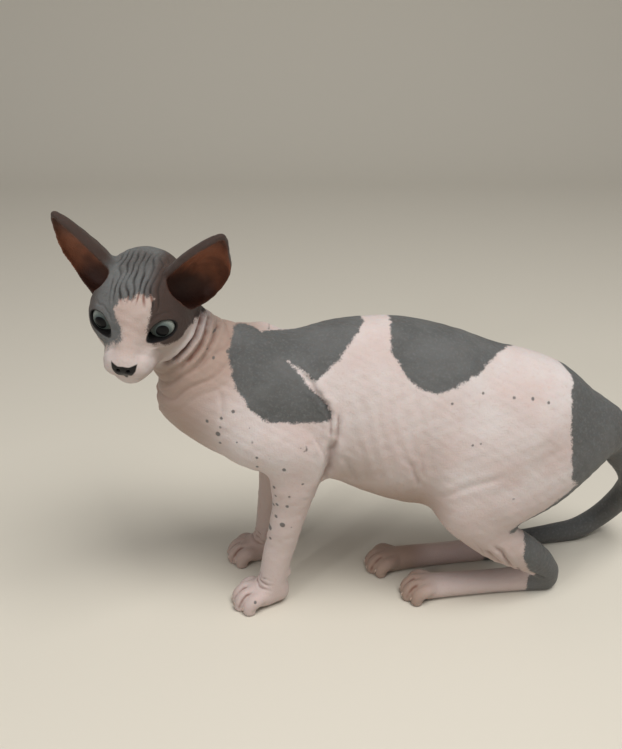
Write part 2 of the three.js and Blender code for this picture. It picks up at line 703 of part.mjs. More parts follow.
// Mouth: a groove under the whisker pads from corner to corner, with a lip along its top edge
const MOUTH_LINE = [[27, 17, -26], [35, 15, -29], [44, 11, -30.5], [51, 5, -29.5], [54, 0, -28]];
function onSkin(field, points) {
  const placed = points.map(([x, y, z]) => headPoint(x, y, z));
  for (let i = 0; i < 4; i += 1) settle(placed, field, 2);
  return placed;
}
function tube(points, radius, sides) {
  const path = points.map((at) => ({ at, across: radius, side: radius }));
  const curve = new THREE.CatmullRomCurve3(points);
  const axes = points.map((at, i) => {
    const along = curve.getTangent(i / (points.length - 1));
    const side = headVector(vec(1, 0, 0)).cross(along).normalize();
    return { along, side, across: side.clone().cross(along) };
  });
  return sweep(path, (i) => axes[i], sides, true, true);
}
const mouthPoints = (lift) => [
  ...MOUTH_LINE.map(([x, y, z]) => [x, y, z + lift]),
  ...MOUTH_LINE.slice(0, -1).reverse().map(([x, y, z]) => [x, -y, z + lift]),
];

function makeHead() {
  const forms = [...headForms(), ...neckForms(), earForm(1), earForm(-1)];
  const field = fieldOf(forms);
  let solid = surfaceOf(field, {
    centre: HEAD_AT,
    size: [122, 118, 124],
    cell: [5.6, 5.6, 5.6],
    turn: headTurn,
  });
  solid = worked(solid.add(tube(onSkin(field, mouthPoints(1.2)), 1.5, 6)));
  solid = worked(solid.subtract(tube(onSkin(field, mouthPoints(-0.4)), 1, 6)));
  for (const m of [1, -1]) {
    solid = worked(solid.subtract(ball(headPoint(...eyeCentre(m)), EYE_RADIUS + GAP, 9)));
    solid = worked(solid.subtract(lidOpening(m)));
    solid = worked(solid.subtract(earCup(m)));
    const nostril = ball(vec(0, 0, 0), 1, 6).scale([2.6, 1.5, 1.3]);
    const at = headPoint(56.5, m * 3.2, -17.5);
    const turned = nostril.transform(headTurn.clone().setPosition(at).toArray());
    solid = worked(solid.subtract(turned));
  }
  return within(solid, [NECK_TOP, earPlane(1), earPlane(-1)]);
}
add('head', makeHead(), DARK);
for (const [m, side] of [[1, 'left'], [-1, 'right']]) {
  add(`ear_${side}`, makeEar(m), DARK);
  add(`eye_${side}`, ball(headPoint(...eyeCentre(m)), EYE_RADIUS, 8), IRIS, 0.1);
}

// Legs
for (const [s, side] of SIDES) {
  const { x, y, turn } = FORELEG[s].paw;
  const shin = surfaceOf(fieldOf([...trunkForms, ...forepawForms(s)]), {
    centre: [x + 10, s * 38, 90],
    size: [110, 64, 160],
    cell: [7, 6, 9],
  });
  add(`foreleg_${side}`, within(shin, [...forelegRegion(s), other(WRIST)]), PINK);
  const paw = surfaceOf(fieldOf([forelegForms(s)[1], ...forepawForms(s)]), {
    centre: [x - 8, y, 16],
    size: [76, 52, 50],
    cell: [4.3, 4, 4.3],
    turn: new THREE.Matrix4().makeRotationZ(rad(turn)),
  });
  add(`forepaw_${side}`, within(paw, [WRIST, FLOOR]), WARM);

  const thigh = surfaceOf(fieldOf([...trunkForms, ...shankForms(s)]), {
    centre: [165 + hindShift(s), s * 34, 140],
    size: [210, 90, 150],
    cell: [10.5, 9.5, 9.5],
  });
  add(`thigh_${side}`, within(thigh, [...hindRegion(s), other(KNEE(s))]), PINK);
  const lower = [...thighForms(s), ...shankForms(s), ...hindFootForms(s)];
  const shank = surfaceOf(fieldOf(lower), {
    centre: [160 + hindShift(s), s * 30, 60],
    size: [140, 64, 90],
    cell: [8, 7.5, 8],
  });
  add(`shank_${side}`, within(shank, [KNEE(s), other(HOCK)]), WARM);
  const { heel, toe } = HIND_FOOT[s];
  const foot = surfaceOf(fieldOf([...shankForms(s), ...hindFootForms(s)]), {
    centre: [(heel[0] + toe[0]) / 2, (heel[1] + toe[1]) / 2, 16],
    size: [190, 56, 56],
    cell: [7.5, 4.3, 4.4],
    turn: new THREE.Matrix4().makeRotationZ(Math.atan2(heel[1] - toe[1], heel[0] - toe[0])),
  });
  add(`hind_foot_${side}`, within(foot, [HOCK, FLOOR]), WARM);
}

// Tail, swept along its curve and parted into three lengths
function makeTail() {
  const steps = 3;
  const path = limbPath(TAIL, steps);
  const curve = new THREE.CatmullRomCurve3(TAIL.map(([x, y, z]) => vec(x, y, z)), false,
    'centripetal');
  const frames = curve.computeFrenetFrames(path.length - 1);
  const axes = (i) => ({
    along: frames.tangents[i],
    across: frames.normals[i],
    side: frames.binormals[i],
  });
  const solid = sweep(path, axes, 10, false, true);
  const cutAt = (station) => {
    const i = station * steps;
    return { point: path[i].at, normal: curve.getTangent(i / (path.length - 1)) };
  };
  return { solid, bend: cutAt(4), lying: cutAt(8) };
}
const { solid: tail, bend, lying } = makeTail();
add('tail_root', within(tail, [other(TAIL_ROOT), bend]), SLATE);
add('tail_middle', within(tail, [other(bend), lying, FLOOR]), SLATE);
add('tail_tip', within(tail, [other(lying), FLOOR]), SLATE);

// The origin is on the floor under the middle of the whole
const middle = new THREE.Box3().setFromObject(cat).getCenter(vec(0, 0, 0));
cat.position.set(-middle.x, -middle.y, 0);

export default cat;
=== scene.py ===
"""The looks of a young two-coloured sphynx cat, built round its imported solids.

Shapes are worked out in millimetres in the model's own frame: the cat faces -X, its left side
is -Y and the floor is Z = 0. They move into the row frame, in metres, when a mesh is made.
"""

import json
import logging
import math
from dataclasses import dataclass, field
from enum import Enum

import bpy
import numpy as np
from mathutils import Matrix, Vector

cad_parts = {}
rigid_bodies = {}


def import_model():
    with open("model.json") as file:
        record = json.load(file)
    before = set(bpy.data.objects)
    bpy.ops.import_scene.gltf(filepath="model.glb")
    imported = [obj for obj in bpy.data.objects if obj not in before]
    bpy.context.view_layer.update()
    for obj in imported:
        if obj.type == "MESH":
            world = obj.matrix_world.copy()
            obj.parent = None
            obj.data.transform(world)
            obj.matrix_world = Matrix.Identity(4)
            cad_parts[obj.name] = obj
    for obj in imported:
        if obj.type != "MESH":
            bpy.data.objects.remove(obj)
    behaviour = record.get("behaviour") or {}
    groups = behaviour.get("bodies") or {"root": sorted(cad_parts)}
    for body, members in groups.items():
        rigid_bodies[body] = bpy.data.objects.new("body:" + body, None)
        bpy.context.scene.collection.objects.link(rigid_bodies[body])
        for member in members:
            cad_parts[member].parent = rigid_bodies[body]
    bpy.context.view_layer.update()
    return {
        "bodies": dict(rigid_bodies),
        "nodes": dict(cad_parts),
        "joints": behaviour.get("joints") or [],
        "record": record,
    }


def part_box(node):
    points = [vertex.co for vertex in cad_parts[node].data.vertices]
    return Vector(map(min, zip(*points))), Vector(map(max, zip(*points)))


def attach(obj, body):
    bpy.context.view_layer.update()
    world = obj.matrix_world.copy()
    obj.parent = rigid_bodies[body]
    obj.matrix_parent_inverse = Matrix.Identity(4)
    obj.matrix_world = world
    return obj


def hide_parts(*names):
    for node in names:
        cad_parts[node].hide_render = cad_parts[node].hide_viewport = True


LOG = logging.getLogger("sphynx")
MM = 0.001
FAR = 50.0
OUTSIDE = -9.0
SIDEWAYS = (0.0, 1.0, 0.0)
Array = np.ndarray


class Side(Enum):
    """The cat's own sides, valued by the sign of Y in the model's frame."""

    LEFT = -1
    RIGHT = 1

    @property
    def word(self) -> str:
        """The side's name in lower case."""
        return self.name.lower()


# Numbers and fields


def step_up(x: Array, low: float, high: float) -> Array:
    """A smooth rise from 0 at low to 1 at high."""
    t = np.clip((x - low) / (high - low), 0.0, 1.0)
    return t * t * (3.0 - 2.0 * t)


def between(x: Array, rise: tuple, fall: tuple) -> Array:
    """1 between a soft rise and a soft fall, and 0 outside them."""
    return step_up(x, *rise) * (1.0 - step_up(x, *fall))


def smooth_min(a: Array, b: Array, k: float) -> Array:
    """The lower of two distances, rounded where they are closer than k."""
    h = np.maximum(k - np.abs(a - b), 0.0) / k
    return np.minimum(a, b) - h * h * k * 0.25


def turn_matrix(rx: float, ry: float, rz: float) -> Array:
    """The rotation about X, then Y, then Z, from angles in degrees."""
    turns = [Matrix.Rotation(math.radians(a), 3, n) for a, n in ((rz, "Z"), (ry, "Y"), (rx, "X"))]
    return np.array(turns[0] @ turns[1] @ turns[2])


def unit(v: Array) -> Array:
    """The vector v with length 1."""
    return np.asarray(v, float) / np.linalg.norm(v)


def curve_path(stations: Array, steps: int) -> Array:
    """A smooth path through stations.

    Args:
        stations: rows of a point and any further values, such as radii.
        steps: how many pieces each run between two stations is cut into.

    Returns:
        Rows like those of stations, on a centripetal Catmull-Rom curve.
    """
    rows = np.vstack([2 * stations[0] - stations[1], stations, 2 * stations[-1] - stations[-2]])
    rows[0, 3:], rows[-1, 3:] = stations[0, 3:], stations[-1, 3:]
    u = np.linspace(0.0, 1.0, steps, endpoint=False)[:, None]
    path = []
    for i in range(len(stations) - 1):
        a, b, c, d = rows[i : i + 4]
        k0, k1, k2 = (np.linalg.norm((q - p)[:3]) ** 0.5 for p, q in ((a, b), (b, c), (c, d)))
        leave = ((b - a) / k0 - (c - a) / (k0 + k1) + (c - b) / k1) * k1
        reach = ((c - b) / k1 - (d - b) / (k1 + k2) + (d - c) / k2) * k1
        path.append(
            b + leave * u + (3 * (c - b) - 2 * leave - reach) * u**2
            + (2 * (b - c) + leave + reach) * u**3
        )
    return np.vstack([*path, stations[-1:]])


def oval_distance(squares: Array, along: Array, a: Array, b: Array) -> Array:
    """Distance to an ellipse of radius a across and b along, from squared offsets across it.

    Args:
        squares: squared distances from the axis less those along the side.
        along: distances along the side.
        a: radius across.
        b: radius along the side.

    Returns:
        one signed distance for each point.
    """
    k0 = np.sqrt(squares / (a * a) + along * along / (b * b))
    k1 = np.sqrt(squares / a**4 + along * along / b**4)
    return np.where(k0 < 1e-6, -np.minimum(a, b), k0 * (k0 - 1.0) / np.maximum(k1, 1e-9))


@dataclass
class Form:
    """One solid of a field: where it is, how it blends and whether it is cut away."""

    blend: float = 8.0
    cut: bool = False
    at: Array = field(default=None, repr=False)
    reach: float = 0.0

    def distance(self, p: Array) -> Array:
        """Distances of points p from the form's surface, below 0 inside."""
        raise NotImplementedError


class Lump(Form):
    """An ellipsoid."""

    def __init__(self, at: Array, radii: tuple, axes: Array, blend: float, cut: bool = False) -> None:
        """An ellipsoid at a point, with radii along the columns of axes."""
        super().__init__(blend, cut, np.array(at, float), max(radii))
        self.radii, self.axes = np.array(radii, float), axes

    def distance(self, p: Array) -> Array:
        """Distances of points p from the ellipsoid.

        Args:
            p: points in the model's frame, one to a row.

        Returns:
            signed distances, below 0 inside.
        """
        q = (p - self.at) @ self.axes
        k0 = np.sqrt(((q / self.radii) ** 2).sum(1))
        k1 = np.sqrt(((q / self.radii**2) ** 2).sum(1))
        return k0 * (k0 - 1.0) / np.maximum(k1, 1e-9)


class Limb(Form):
    """A run of oval sections along a smooth path."""

    def __init__(
        self, stations: list, side: tuple = SIDEWAYS, blend: float = 8.0, cut: bool = False,
        steps: int = 4,
    ) -> None:
        """A limb through stations.

        Args:
            stations: rows of x, y, z, radius across and radius along side.
            side: the direction that the last radius is measured along.
            blend: the width of its blend with its neighbours.
            cut: whether it is taken away instead of added.
            steps: pieces between two stations.
        """
        path = curve_path(np.array(stations, float), steps)
        self.path, self.radii, self.side = path[:, :3], path[:, 3:5], unit(side)
        at = self.path.mean(0)
        reach = (np.linalg.norm(self.path - at, axis=1) + self.radii.max(1)).max()
        super().__init__(blend, cut, at, reach)

    def distance(self, p: Array) -> Array:
        """Distances of points p from the limb. Links too far from all of them are passed over.

        Args:
            p: points in the model's frame, one to a row.

        Returns:
            signed distances, below 0 inside.
        """
        low, high = p.min(0), p.max(0)
        away = np.linalg.norm(self.path - (low + high) / 2, axis=1) - self.radii.max(1)
        spread = np.abs(self.radii[:, 0] - self.radii[:, 1]).max()
        near = away <= away.min() + np.linalg.norm(high - low) + 2 * spread + 6
        best = np.full(len(p), np.inf)
        for i in np.flatnonzero(near[:-1] | near[1:]):
            start, run = self.path[i], self.path[i + 1] - self.path[i]
            offset = p - start
            t = np.clip(offset @ run / (run @ run), 0.0, 1.0)
            offset -= t[:, None] * run
            a, b = (self.radii[i] + (self.radii[i + 1] - self.radii[i]) * t[:, None]).T
            along = offset @ self.side
            squares = np.maximum((offset * offset).sum(1) - along * along, 0.0)
            np.minimum(best, oval_distance(squares, along, a, b), out=best)
        return best


class Trunk(Form):
    """Upright egg-shaped sections along X: x, top, bottom, half width and narrowing."""

    def __init__(self, sections: list, blend: float) -> None:
        """A trunk through the sections, smooth along its length.

        Args:
            sections: rows of X, top, bottom, half width and narrowing.
            blend: how far it melts into its neighbours, in mm.
        """
        rows = np.array(sections, float)
        slopes = np.gradient(rows, rows[:, 0], axis=0)
        slopes[1:-1] = (rows[2:] - rows[:-2]) / (rows[2:, :1] - rows[:-2, :1])
        self.x = np.arange(rows[0, 0], rows[-1, 0] + 0.25, 0.5)
        i = np.clip(np.searchsorted(rows[:, 0], self.x, "right") - 1, 0, len(rows) - 2)
        run = (rows[i + 1, 0] - rows[i, 0])[:, None]
        t = (self.x - rows[i, 0])[:, None] / run
        self.rows = (
            (2 * t**3 - 3 * t**2 + 1) * rows[i] + (t**3 - 2 * t**2 + t) * run * slopes[i]
            + (3 * t**2 - 2 * t**3) * rows[i + 1] + (t**3 - t**2) * run * slopes[i + 1]
        )
        ends = self.x[0], self.x[-1]
        at = np.array([sum(ends) / 2, 0.0, 165.0])
        super().__init__(blend, False, at, (ends[1] - ends[0]) / 2 + 20)

    def distance(self, p: Array) -> Array:
        """Distances of points p from the trunk.

        Args:
            p: points in the model's frame, one to a row.

        Returns:
            signed distances, below 0 inside.
        """
        x = p[:, 0]
        top, bottom, half, narrowing = (np.interp(x, self.x, self.rows[:, j]) for j in range(1, 5))
        tall, z = (top - bottom) / 2, p[:, 2] - (top + bottom) / 2
        y = p[:, 1] / (1.0 - narrowing * np.clip(z / tall, -1.3, 1.3))
        d = oval_distance(z * z, y, tall, half)
        past = np.maximum(np.maximum(self.x[0] - x, x - self.x[-1]), 0.0)
        return np.where(past > 0, np.hypot(np.maximum(d, 0.0), past), d)


def field_at(forms: list[Form], p: Array) -> Array:
    """Distances of points p from the whole: joined forms, less the cut ones.

    Args:
        forms: the forms to join, in their order.
        p: points in the model's frame, one to a row.

    Returns:
        the joined distance at each point.
    """
    d = None
    for form in forms:
        if not form.cut:
            e = form.distance(p)
            d = e if d is None else smooth_min(d, e, form.blend)
    for form in forms:
        if form.cut:
            d = -smooth_min(-d, form.distance(p), form.blend)
    return d


@dataclass
class Lattice:
    """A rectilinear lattice whose steps are finer where the shape is finer.

    Each span is start, end and step.
    """

    spans: tuple[tuple, tuple, tuple]
    block: int = 13
    band: float = 2.6

    def axes(self) -> list[Array]:
        """The lattice's values along X, Y and Z, a whole number of blocks each.

        Returns:
            the stops along X, Y and Z.
        """
        found = []
        for spans in self.spans:
            runs = [np.arange(a, b - s / 2, s) for a, b, s in spans]
            line = np.concatenate(runs)
            short = -(len(line) - 1) % (self.block - 1)
            tail = line[-1] + spans[-1][2] * np.arange(1, short + 1)
            found.append(np.concatenate([line, tail]))
        return found

    def sample(self, forms: list[Form]) -> tuple[list[Array], Array]:
        """The field on the lattice, exact near the surface and rough elsewhere.

        Args:
            forms: the forms that make the shape.

        Returns:
            The lattice's axes and the field's values.
        """
        axes = self.axes()
        values = np.full([len(a) for a in axes], FAR, np.float32)
        run = self.block - 1
        corners = [range(0, len(a) - 1, run) for a in axes]
        for i in corners[0]:
            for j in corners[1]:
                for k in corners[2]:
                    window = tuple(slice(c, c + self.block) for c in (i, j, k))
                    lines = [axis[w] for axis, w in zip(axes, window)]
                    low, high = (np.array([line[e] for line in lines]) for e in (0, -1))
                    middle, radius = (low + high) / 2, np.linalg.norm(high - low) / 2
                    use = [
                        f for f in forms
                        if np.linalg.norm(middle - f.at) < f.reach + radius + 14
                    ]
                    if not any(not f.cut for f in use):
                        continue
                    away = field_at(use, middle[None])[0]
                    if abs(away) > radius * 1.6 + 7:
                        values[window] = away
                        continue
                    values[window] = self.fill(use, lines)
        return axes, values

    def fill(self, forms: list[Form], lines: list[Array]) -> Array:
        """One block's values: every other point, the rest between them, then the near ones.

        Args:
            forms: the forms to join, in their order.
            lines: the stops along X, Y and Z.

        Returns:
            the joined distance at each lattice point.
        """
        points = np.stack(np.meshgrid(*lines, indexing="ij"), -1)
        rough = points[::2, ::2, ::2]
        block = np.empty(points.shape[:3])
        block[::2, ::2, ::2] = field_at(forms, rough.reshape(-1, 3)).reshape(rough.shape[:3])
        block[1::2, ::2, ::2] = (block[:-1:2, ::2, ::2] + block[2::2, ::2, ::2]) / 2
        block[:, 1::2, ::2] = (block[:, :-1:2, ::2] + block[:, 2::2, ::2]) / 2
        block[:, :, 1::2] = (block[:, :, :-1:2] + block[:, :, 2::2]) / 2
        near = np.abs(block) < self.band
        if near.any():
            block[near] = field_at(forms, points[near])
        return block


def surface_nets(axes: list[Array], values: Array) -> tuple[Array, Array]:
    """The closed surface where the values change sign.

    Args:
        axes: the lattice's values along X, Y and Z.
        values: the field on the lattice, above 0 all round its rim.

    Returns:
        Vertices and outward quads.
    """
    inside = values < 0
    cells = [n - 1 for n in values.shape]
    count = np.zeros(cells, np.int8)
    for a in (0, 1):
        for b in (0, 1):
            for c in (0, 1):
                count += inside[a : cells[0] + a, b : cells[1] + b, c : cells[2] + c]
    active = (count > 0) & (count < 8)
    cell = np.argwhere(active)
    index = -np.ones(active.shape, np.int64)
    index[active] = np.arange(len(cell))
    total, crossed = np.zeros((len(cell), 3)), np.zeros(len(cell))
    for axis in range(3):
        others = [a for a in range(3) if a != axis]
        for shift in np.ndindex(2, 2):
            start = cell.copy()
            start[:, others] += shift
            end = start.copy()
            end[:, axis] += 1
            d0, d1 = values[tuple(start.T)], values[tuple(end.T)]
            cross = (d0 < 0) != (d1 < 0)
            t = (d0 / np.where(cross, d0 - d1, 1.0))[cross][:, None]
            p0, p1 = (np.stack([axes[a][e[cross, a]] for a in range(3)], -1) for e in (start, end))
            total[cross] += p0 + (p1 - p0) * t
            crossed[cross] += 1
    vertices = total / crossed[:, None]
    quads = []
    for axis in range(3):
        others = [a for a in range(3) if a != axis]
        first, second = [slice(1, -1)] * 3, [slice(1, -1)] * 3
        first[axis], second[axis] = slice(0, -1), slice(1, None)
        a0, a1 = inside[tuple(first)], inside[tuple(second)]
        edge = np.argwhere(a0 != a1)
        edge[:, others] += 1
        ring = []
        for shift in ((1, 1), (0, 1), (0, 0), (1, 0)):
            corner = edge.copy()
            corner[:, others] -= shift
            ring.append(index[tuple(corner.T)])
        quad = np.stack(ring, -1)
        flip = a0[a0 != a1] != (axis == 1)
        quad[~flip] = quad[~flip][:, ::-1]
        quads.append(quad)
    return vertices, np.concatenate(quads)


@dataclass
class Shell:
    """A closed surface of quads that is smoothed, settled and carved."""

    vertices: Array
    quads: Array

    def normals(self) -> Array:
        """The outward normal at each vertex.

        Returns:
            one unit vector for each vertex.
        """
        v, q = self.vertices, self.quads
        flat = np.cross(v[q[:, 2]] - v[q[:, 0]], v[q[:, 3]] - v[q[:, 1]])
        total = self.gather(np.repeat(flat, 4, 0), q.ravel())
        return total / np.maximum(np.linalg.norm(total, axis=1), 1e-9)[:, None]

    def gather(self, rows: Array, where: Array) -> Array:
        """The sums of rows at the vertices that where names."""
        size = len(self.vertices)
        return np.stack([np.bincount(where, r, size) for r in rows.T], -1)

    def relax(self, share: float, rounds: int) -> None:
        """Moves each vertex by a share of the way to the middle of its neighbours.

        Args:
            share: how far each vertex goes to the middle of its neighbours.
            rounds: how many times.
        """
        q = self.quads
        ends = np.concatenate([q.ravel(), np.roll(q, 1, 1).ravel()])
        others = np.concatenate([np.roll(q, 1, 1).ravel(), q.ravel()])
        number = np.bincount(ends, minlength=len(self.vertices))[:, None]
        for _ in range(rounds):
            middle = self.gather(self.vertices[others], ends) / number
            self.vertices += (middle - self.vertices) * share

    def settle(self, forms: list[Form], limit: float) -> None:
        """Moves each vertex along its normal onto the field's surface, by at most limit.

        Args:
            forms: the forms to join, in their order.
            limit: the longest step, in mm.
        """
        order = np.lexsort((self.vertices // 14.0).astype(int).T)
        n = self.normals()
        for start in range(0, len(order), 4000):
            part = order[start : start + 4000]
            p = self.vertices[part]
            low, high = p.min(0), p.max(0)
            middle, radius = (low + high) / 2, np.linalg.norm(high - low) / 2
            use = [f for f in forms if np.linalg.norm(middle - f.at) < f.reach + radius + 14]
            d = np.clip(field_at(use, p), -limit, limit)
            self.vertices[part] = p - n[part] * d[:, None]


def mesh_object(name: str, vertices: Array, faces: Array, shift: Array) -> bpy.types.Object:
    """A smooth mesh object.

    Args:
        name: the piece's name.
        vertices: points in the model's frame, in millimetres.
        faces: rows of vertex numbers, or lists of them.
        shift: what moves the model's frame to the row's, in millimetres.

    Returns:
        The object, in metres in the row frame.
    """
    mesh = bpy.data.meshes.new(name)
    rows = faces.tolist() if isinstance(faces, np.ndarray) else faces
    mesh.from_pydata(((np.asarray(vertices) + shift) * MM).tolist(), [], rows)
    mesh.validate()
    mesh.polygons.foreach_set("use_smooth", [True] * len(mesh.polygons))
    piece = bpy.data.objects.new(name, mesh)
    bpy.context.scene.collection.objects.link(piece)
    return piece


# The cat's parts


@dataclass
class Torso:
    """Chest, back, belly and rump, with the neck."""

    sections: tuple = (
        (-119, 186, 166, 9, 0), (-113, 197, 160, 20, 0), (-101, 212, 150, 30, 0.05),
        (-80, 224, 136, 38, 0.1), (-50, 229, 121, 43, 0.12), (-16, 231, 114, 47, 0.14),
        (15, 239, 110, 51, 0.14), (40, 242, 99, 54, 0.12), (65, 242, 90, 56, 0.12),
        (90, 238, 85, 55, 0.12), (115, 231, 87, 51, 0.12), (145, 220, 100, 45, 0.12),
        (175, 212, 114, 39, 0.1), (200, 201, 124, 33, 0.1), (225, 179, 131, 26, 0),
        (243, 158, 136, 15, 0), (250, 150, 142, 6, 0),
    )
    neck: tuple = (
        (-55, 0, 188, 44, 40), (-80, -2, 206, 36, 34), (-100, -6, 229, 30, 29),
        (-112, -14, 250, 26, 26),
    )

    def forms(self) -> list[Form]:
        """The trunk and the neck."""
        return [Trunk(list(self.sections), 10), Limb(list(self.neck), blend=20)]


@dataclass
class Foot:
    """A foot laid along its own line: forward, to its left, and up."""

    at: tuple[float, float]
    facing: tuple[float, float]
    toes: tuple
    toe_root: float
    sink: float = 1.2

    def point(self, forward: float, left: float, up: float) -> tuple:
        """A point of the foot in the model's frame.

        Args:
            forward: mm towards the toes.
            left: mm to the foot's left.
            up: mm over its base.

        Returns:
            the point in the model's frame.
        """
        fx, fy = self.facing
        x, y = self.at
        return (x + forward * fx - left * fy, y + forward * fy + left * fx, up - self.sink)

    @property
    def side(self) -> tuple:
        """The direction to the foot's left."""
        return (-self.facing[1], self.facing[0], 0.0)

    def toe_forms(self) -> list[Form]:
        """Four toes with their knuckles, each with its own pad below.

        Returns:
            the forms of the toes and pads.
        """
        forms = []
        for left, forward, r in self.toes:
            root = self.toe_root + (forward - self.toe_root) * 0.1
            stations = [
                (*self.point(root, left * 0.72, 13), r * 0.9, r * 0.85),
                (*self.point(forward - 6.5, left * 0.97, 13), r * 0.98, r * 0.94),
                (*self.point(forward - 1.5, left, 9), r * 0.92, r * 0.9),
                (*self.point(forward, left, 5.6), r * 0.82, r * 0.84),
            ]
            forms.append(Limb(stations, self.side, 1.6, steps=3))
            pad = self.point(forward - 0.5, left, 3.6)
            forms.append(Lump(pad, (r * 0.85, r * 0.78, 3.0), np.eye(3), 1.2))
        return forms

    def clefts(self) -> list[tuple]:
        """A line over the top of each gap between two toes, from the knuckle to the tip.

        Returns:
            one line for each gap.
        """
        found = []
        for (left, forward, _), (right, ahead, _) in zip(self.toes, self.toes[1:]):
            middle, front = (left + right) / 2, (forward + ahead) / 2
            rows = ((-9, 20.5), (-5, 19.5), (-1, 16), (2, 12), (4.5, 7), (5, 2))
            found.append(tuple(self.point(front + f, middle, up) for f, up in rows))
        return found

    def claws(self) -> list[tuple[Array, Array]]:
        """Root and tip of each claw.

        Returns:
            a pair of points for each claw.
        """
        found = []
        for left, forward, r in self.toes:
            root = np.array(self.point(forward + r * 0.5, left, 8.6))
            tip = np.array(self.point(forward + r * 0.5 + 2.6, left * 1.02, 5.2))
            found.append((root, tip))
        return found


@dataclass
class Foreleg:
    """Shoulder blade, upper arm, forearm and forepaw of one side."""

    side: Side
    shoulder: tuple
    forearm: tuple
    paw_at: tuple[float, float]
    paw_turn: float
    toes: tuple = ((-12.5, 21, 6.0), (-4.4, 26.5, 6.6), (4.4, 26.5, 6.6), (12.5, 21, 6.0))

    def foot(self) -> Foot:
        """The forepaw's own line and toes."""
        a = math.radians(self.paw_turn)
        return Foot(self.paw_at, (-math.cos(a), -math.sin(a)), self.toes, 7.0)

    def forms(self) -> list[Form]:
        """The leg, the paw, its toes, the wrist pad and the dew claw's knob.

        Returns:
            the forms, from the shoulder down.
        """
        foot = self.foot()
        palm = [
            (*foot.point(-5, 0, 13), 10.5, 11), (*foot.point(6, 0, 12), 11.5, 13.5),
            (*foot.point(14, 0, 11), 10, 14),
        ]
        wrist = np.array(self.forearm[-1][:3], float)
        pad = wrist + (11, 0, 8)
        dew = wrist + (-1, -self.side.value * 11, 6)
        return [
            Limb(list(self.shoulder), blend=12),
            Limb(list(self.forearm), blend=10),
            Limb(palm, foot.side, 6),
            *foot.toe_forms(),
            Lump(pad, (4.2, 4.2, 5.0), np.eye(3), 2.5),
            Lump(dew, (4.4, 3.4, 5.4), np.eye(3), 3),
        ]


@dataclass
class HindLeg:
    """Thigh, ham, shank and the long hind foot of one side, crouched."""

    side: Side
    shift: float
    ham: tuple
    shank: tuple
    heel: tuple[float, float]
    toe: tuple[float, float]
    thigh: tuple = (
        (185, 20, 165, 36, 14), (160, 28, 150, 46, 24), (138, 35, 127, 38, 22),
        (124, 38, 106, 26, 19), (121, 38, 94, 18, 16),
    )
    toes: tuple = ((-11.8, -13.5, 5.6), (-4.1, -8, 6.2), (4.1, -8, 6.2), (11.8, -13.5, 5.6))

    def foot(self) -> Foot:
        """The hind foot's own line and toes, from the heel forward.

        Returns:
            the foot.
        """
        run = np.subtract(self.toe, self.heel)
        length = float(np.hypot(*run))
        toes = tuple((left, length + forward, r) for left, forward, r in self.toes)
        return Foot(self.heel, tuple(run / length), toes, length - 28)

    def placed(self, stations: tuple) -> list[tuple]:
        """Stations moved to this leg's side and place."""
        s = self.side.value
        return [(x + self.shift, s * y, z, a, b) for x, y, z, a, b in stations]

    def forms(self) -> list[Form]:
        """The leg and the foot.

        Returns:
            the forms, from the ham down.
        """
        foot = self.foot()
        length = math.dist(self.heel, self.toe)
        sole = [
            (*foot.point(8, 0, 12.2), 12, 10.5), (*foot.point(20, 0, 11.9), 11.5, 10),
            (*foot.point(45, 0, 10.9), 10, 9.5), (*foot.point(length - 42, 0, 10.5), 9.8, 11),
            (*foot.point(length - 24, 0, 10), 9.5, 12.5),
        ]
        return [
            Limb(self.placed(self.thigh), blend=18),
            Limb(self.placed(self.ham), blend=14),
            Limb(self.placed(self.shank), blend=12),
            Limb(sole, foot.side, 6),
            *foot.toe_forms(),
        ]


@dataclass
class Tail:
    """From the rump down to the floor and forward along it."""

    stations: tuple = (
        (224, 0, 152, 17), (245, 5, 134, 14.6), (262, 14, 113, 13), (276, 28, 91, 11.6),
        (285, 44, 68, 10.8), (281, 57, 42, 10.2), (267, 63.5, 20, 9.6), (248, 61, 9.2, 9.6),
        (226, 56, 8, 8.6), (203, 52, 7, 7.6), (180, 50, 5.8, 6.4), (160, 49, 4.4, 5),
    )

    def forms(self) -> list[Form]:
        """The tail as one limb of round sections."""
        return [Limb([(*row, row[3]) for row in self.stations], blend=12, steps=5)]


@dataclass
class HeadFrame:
    """The head's own frame: x forward, y to the cat's left, z up."""

    at: tuple = (-122.4, -25.0, 265.3)
    yaw: float = 83.0
    pitch: float = 17.7
    roll: float = -7.2

    def __post_init__(self) -> None:
        """Works out the turn once."""
        self.axes = turn_matrix(0, 0, 180 + self.yaw) @ turn_matrix(self.roll, self.pitch, 0)

    def point(self, x: float, y: float, z: float) -> Array:
        """A point of the head in the model's frame."""
        return np.array(self.at) + self.axes @ np.array([x, y, z], float)

    def local(self, p: Array) -> Array:
        """Points of the model's frame in the head's."""
        return (p - np.array(self.at)) @ self.axes

    def lump(self, at: tuple, radii: tuple, blend: float, cut: bool = False) -> Lump:
        """An ellipsoid along the head's own axes."""
        return Lump(self.point(*at), radii, self.axes, blend, cut)

    def limb(self, stations: list, blend: float, side: tuple = SIDEWAYS, cut: bool = False) -> Limb:
        """A limb whose stations and side are in the head's frame."""
        rows = [(*self.point(*row[:3]), *row[3:]) for row in stations]
        return Limb(rows, self.axes @ np.array(side), blend, cut)


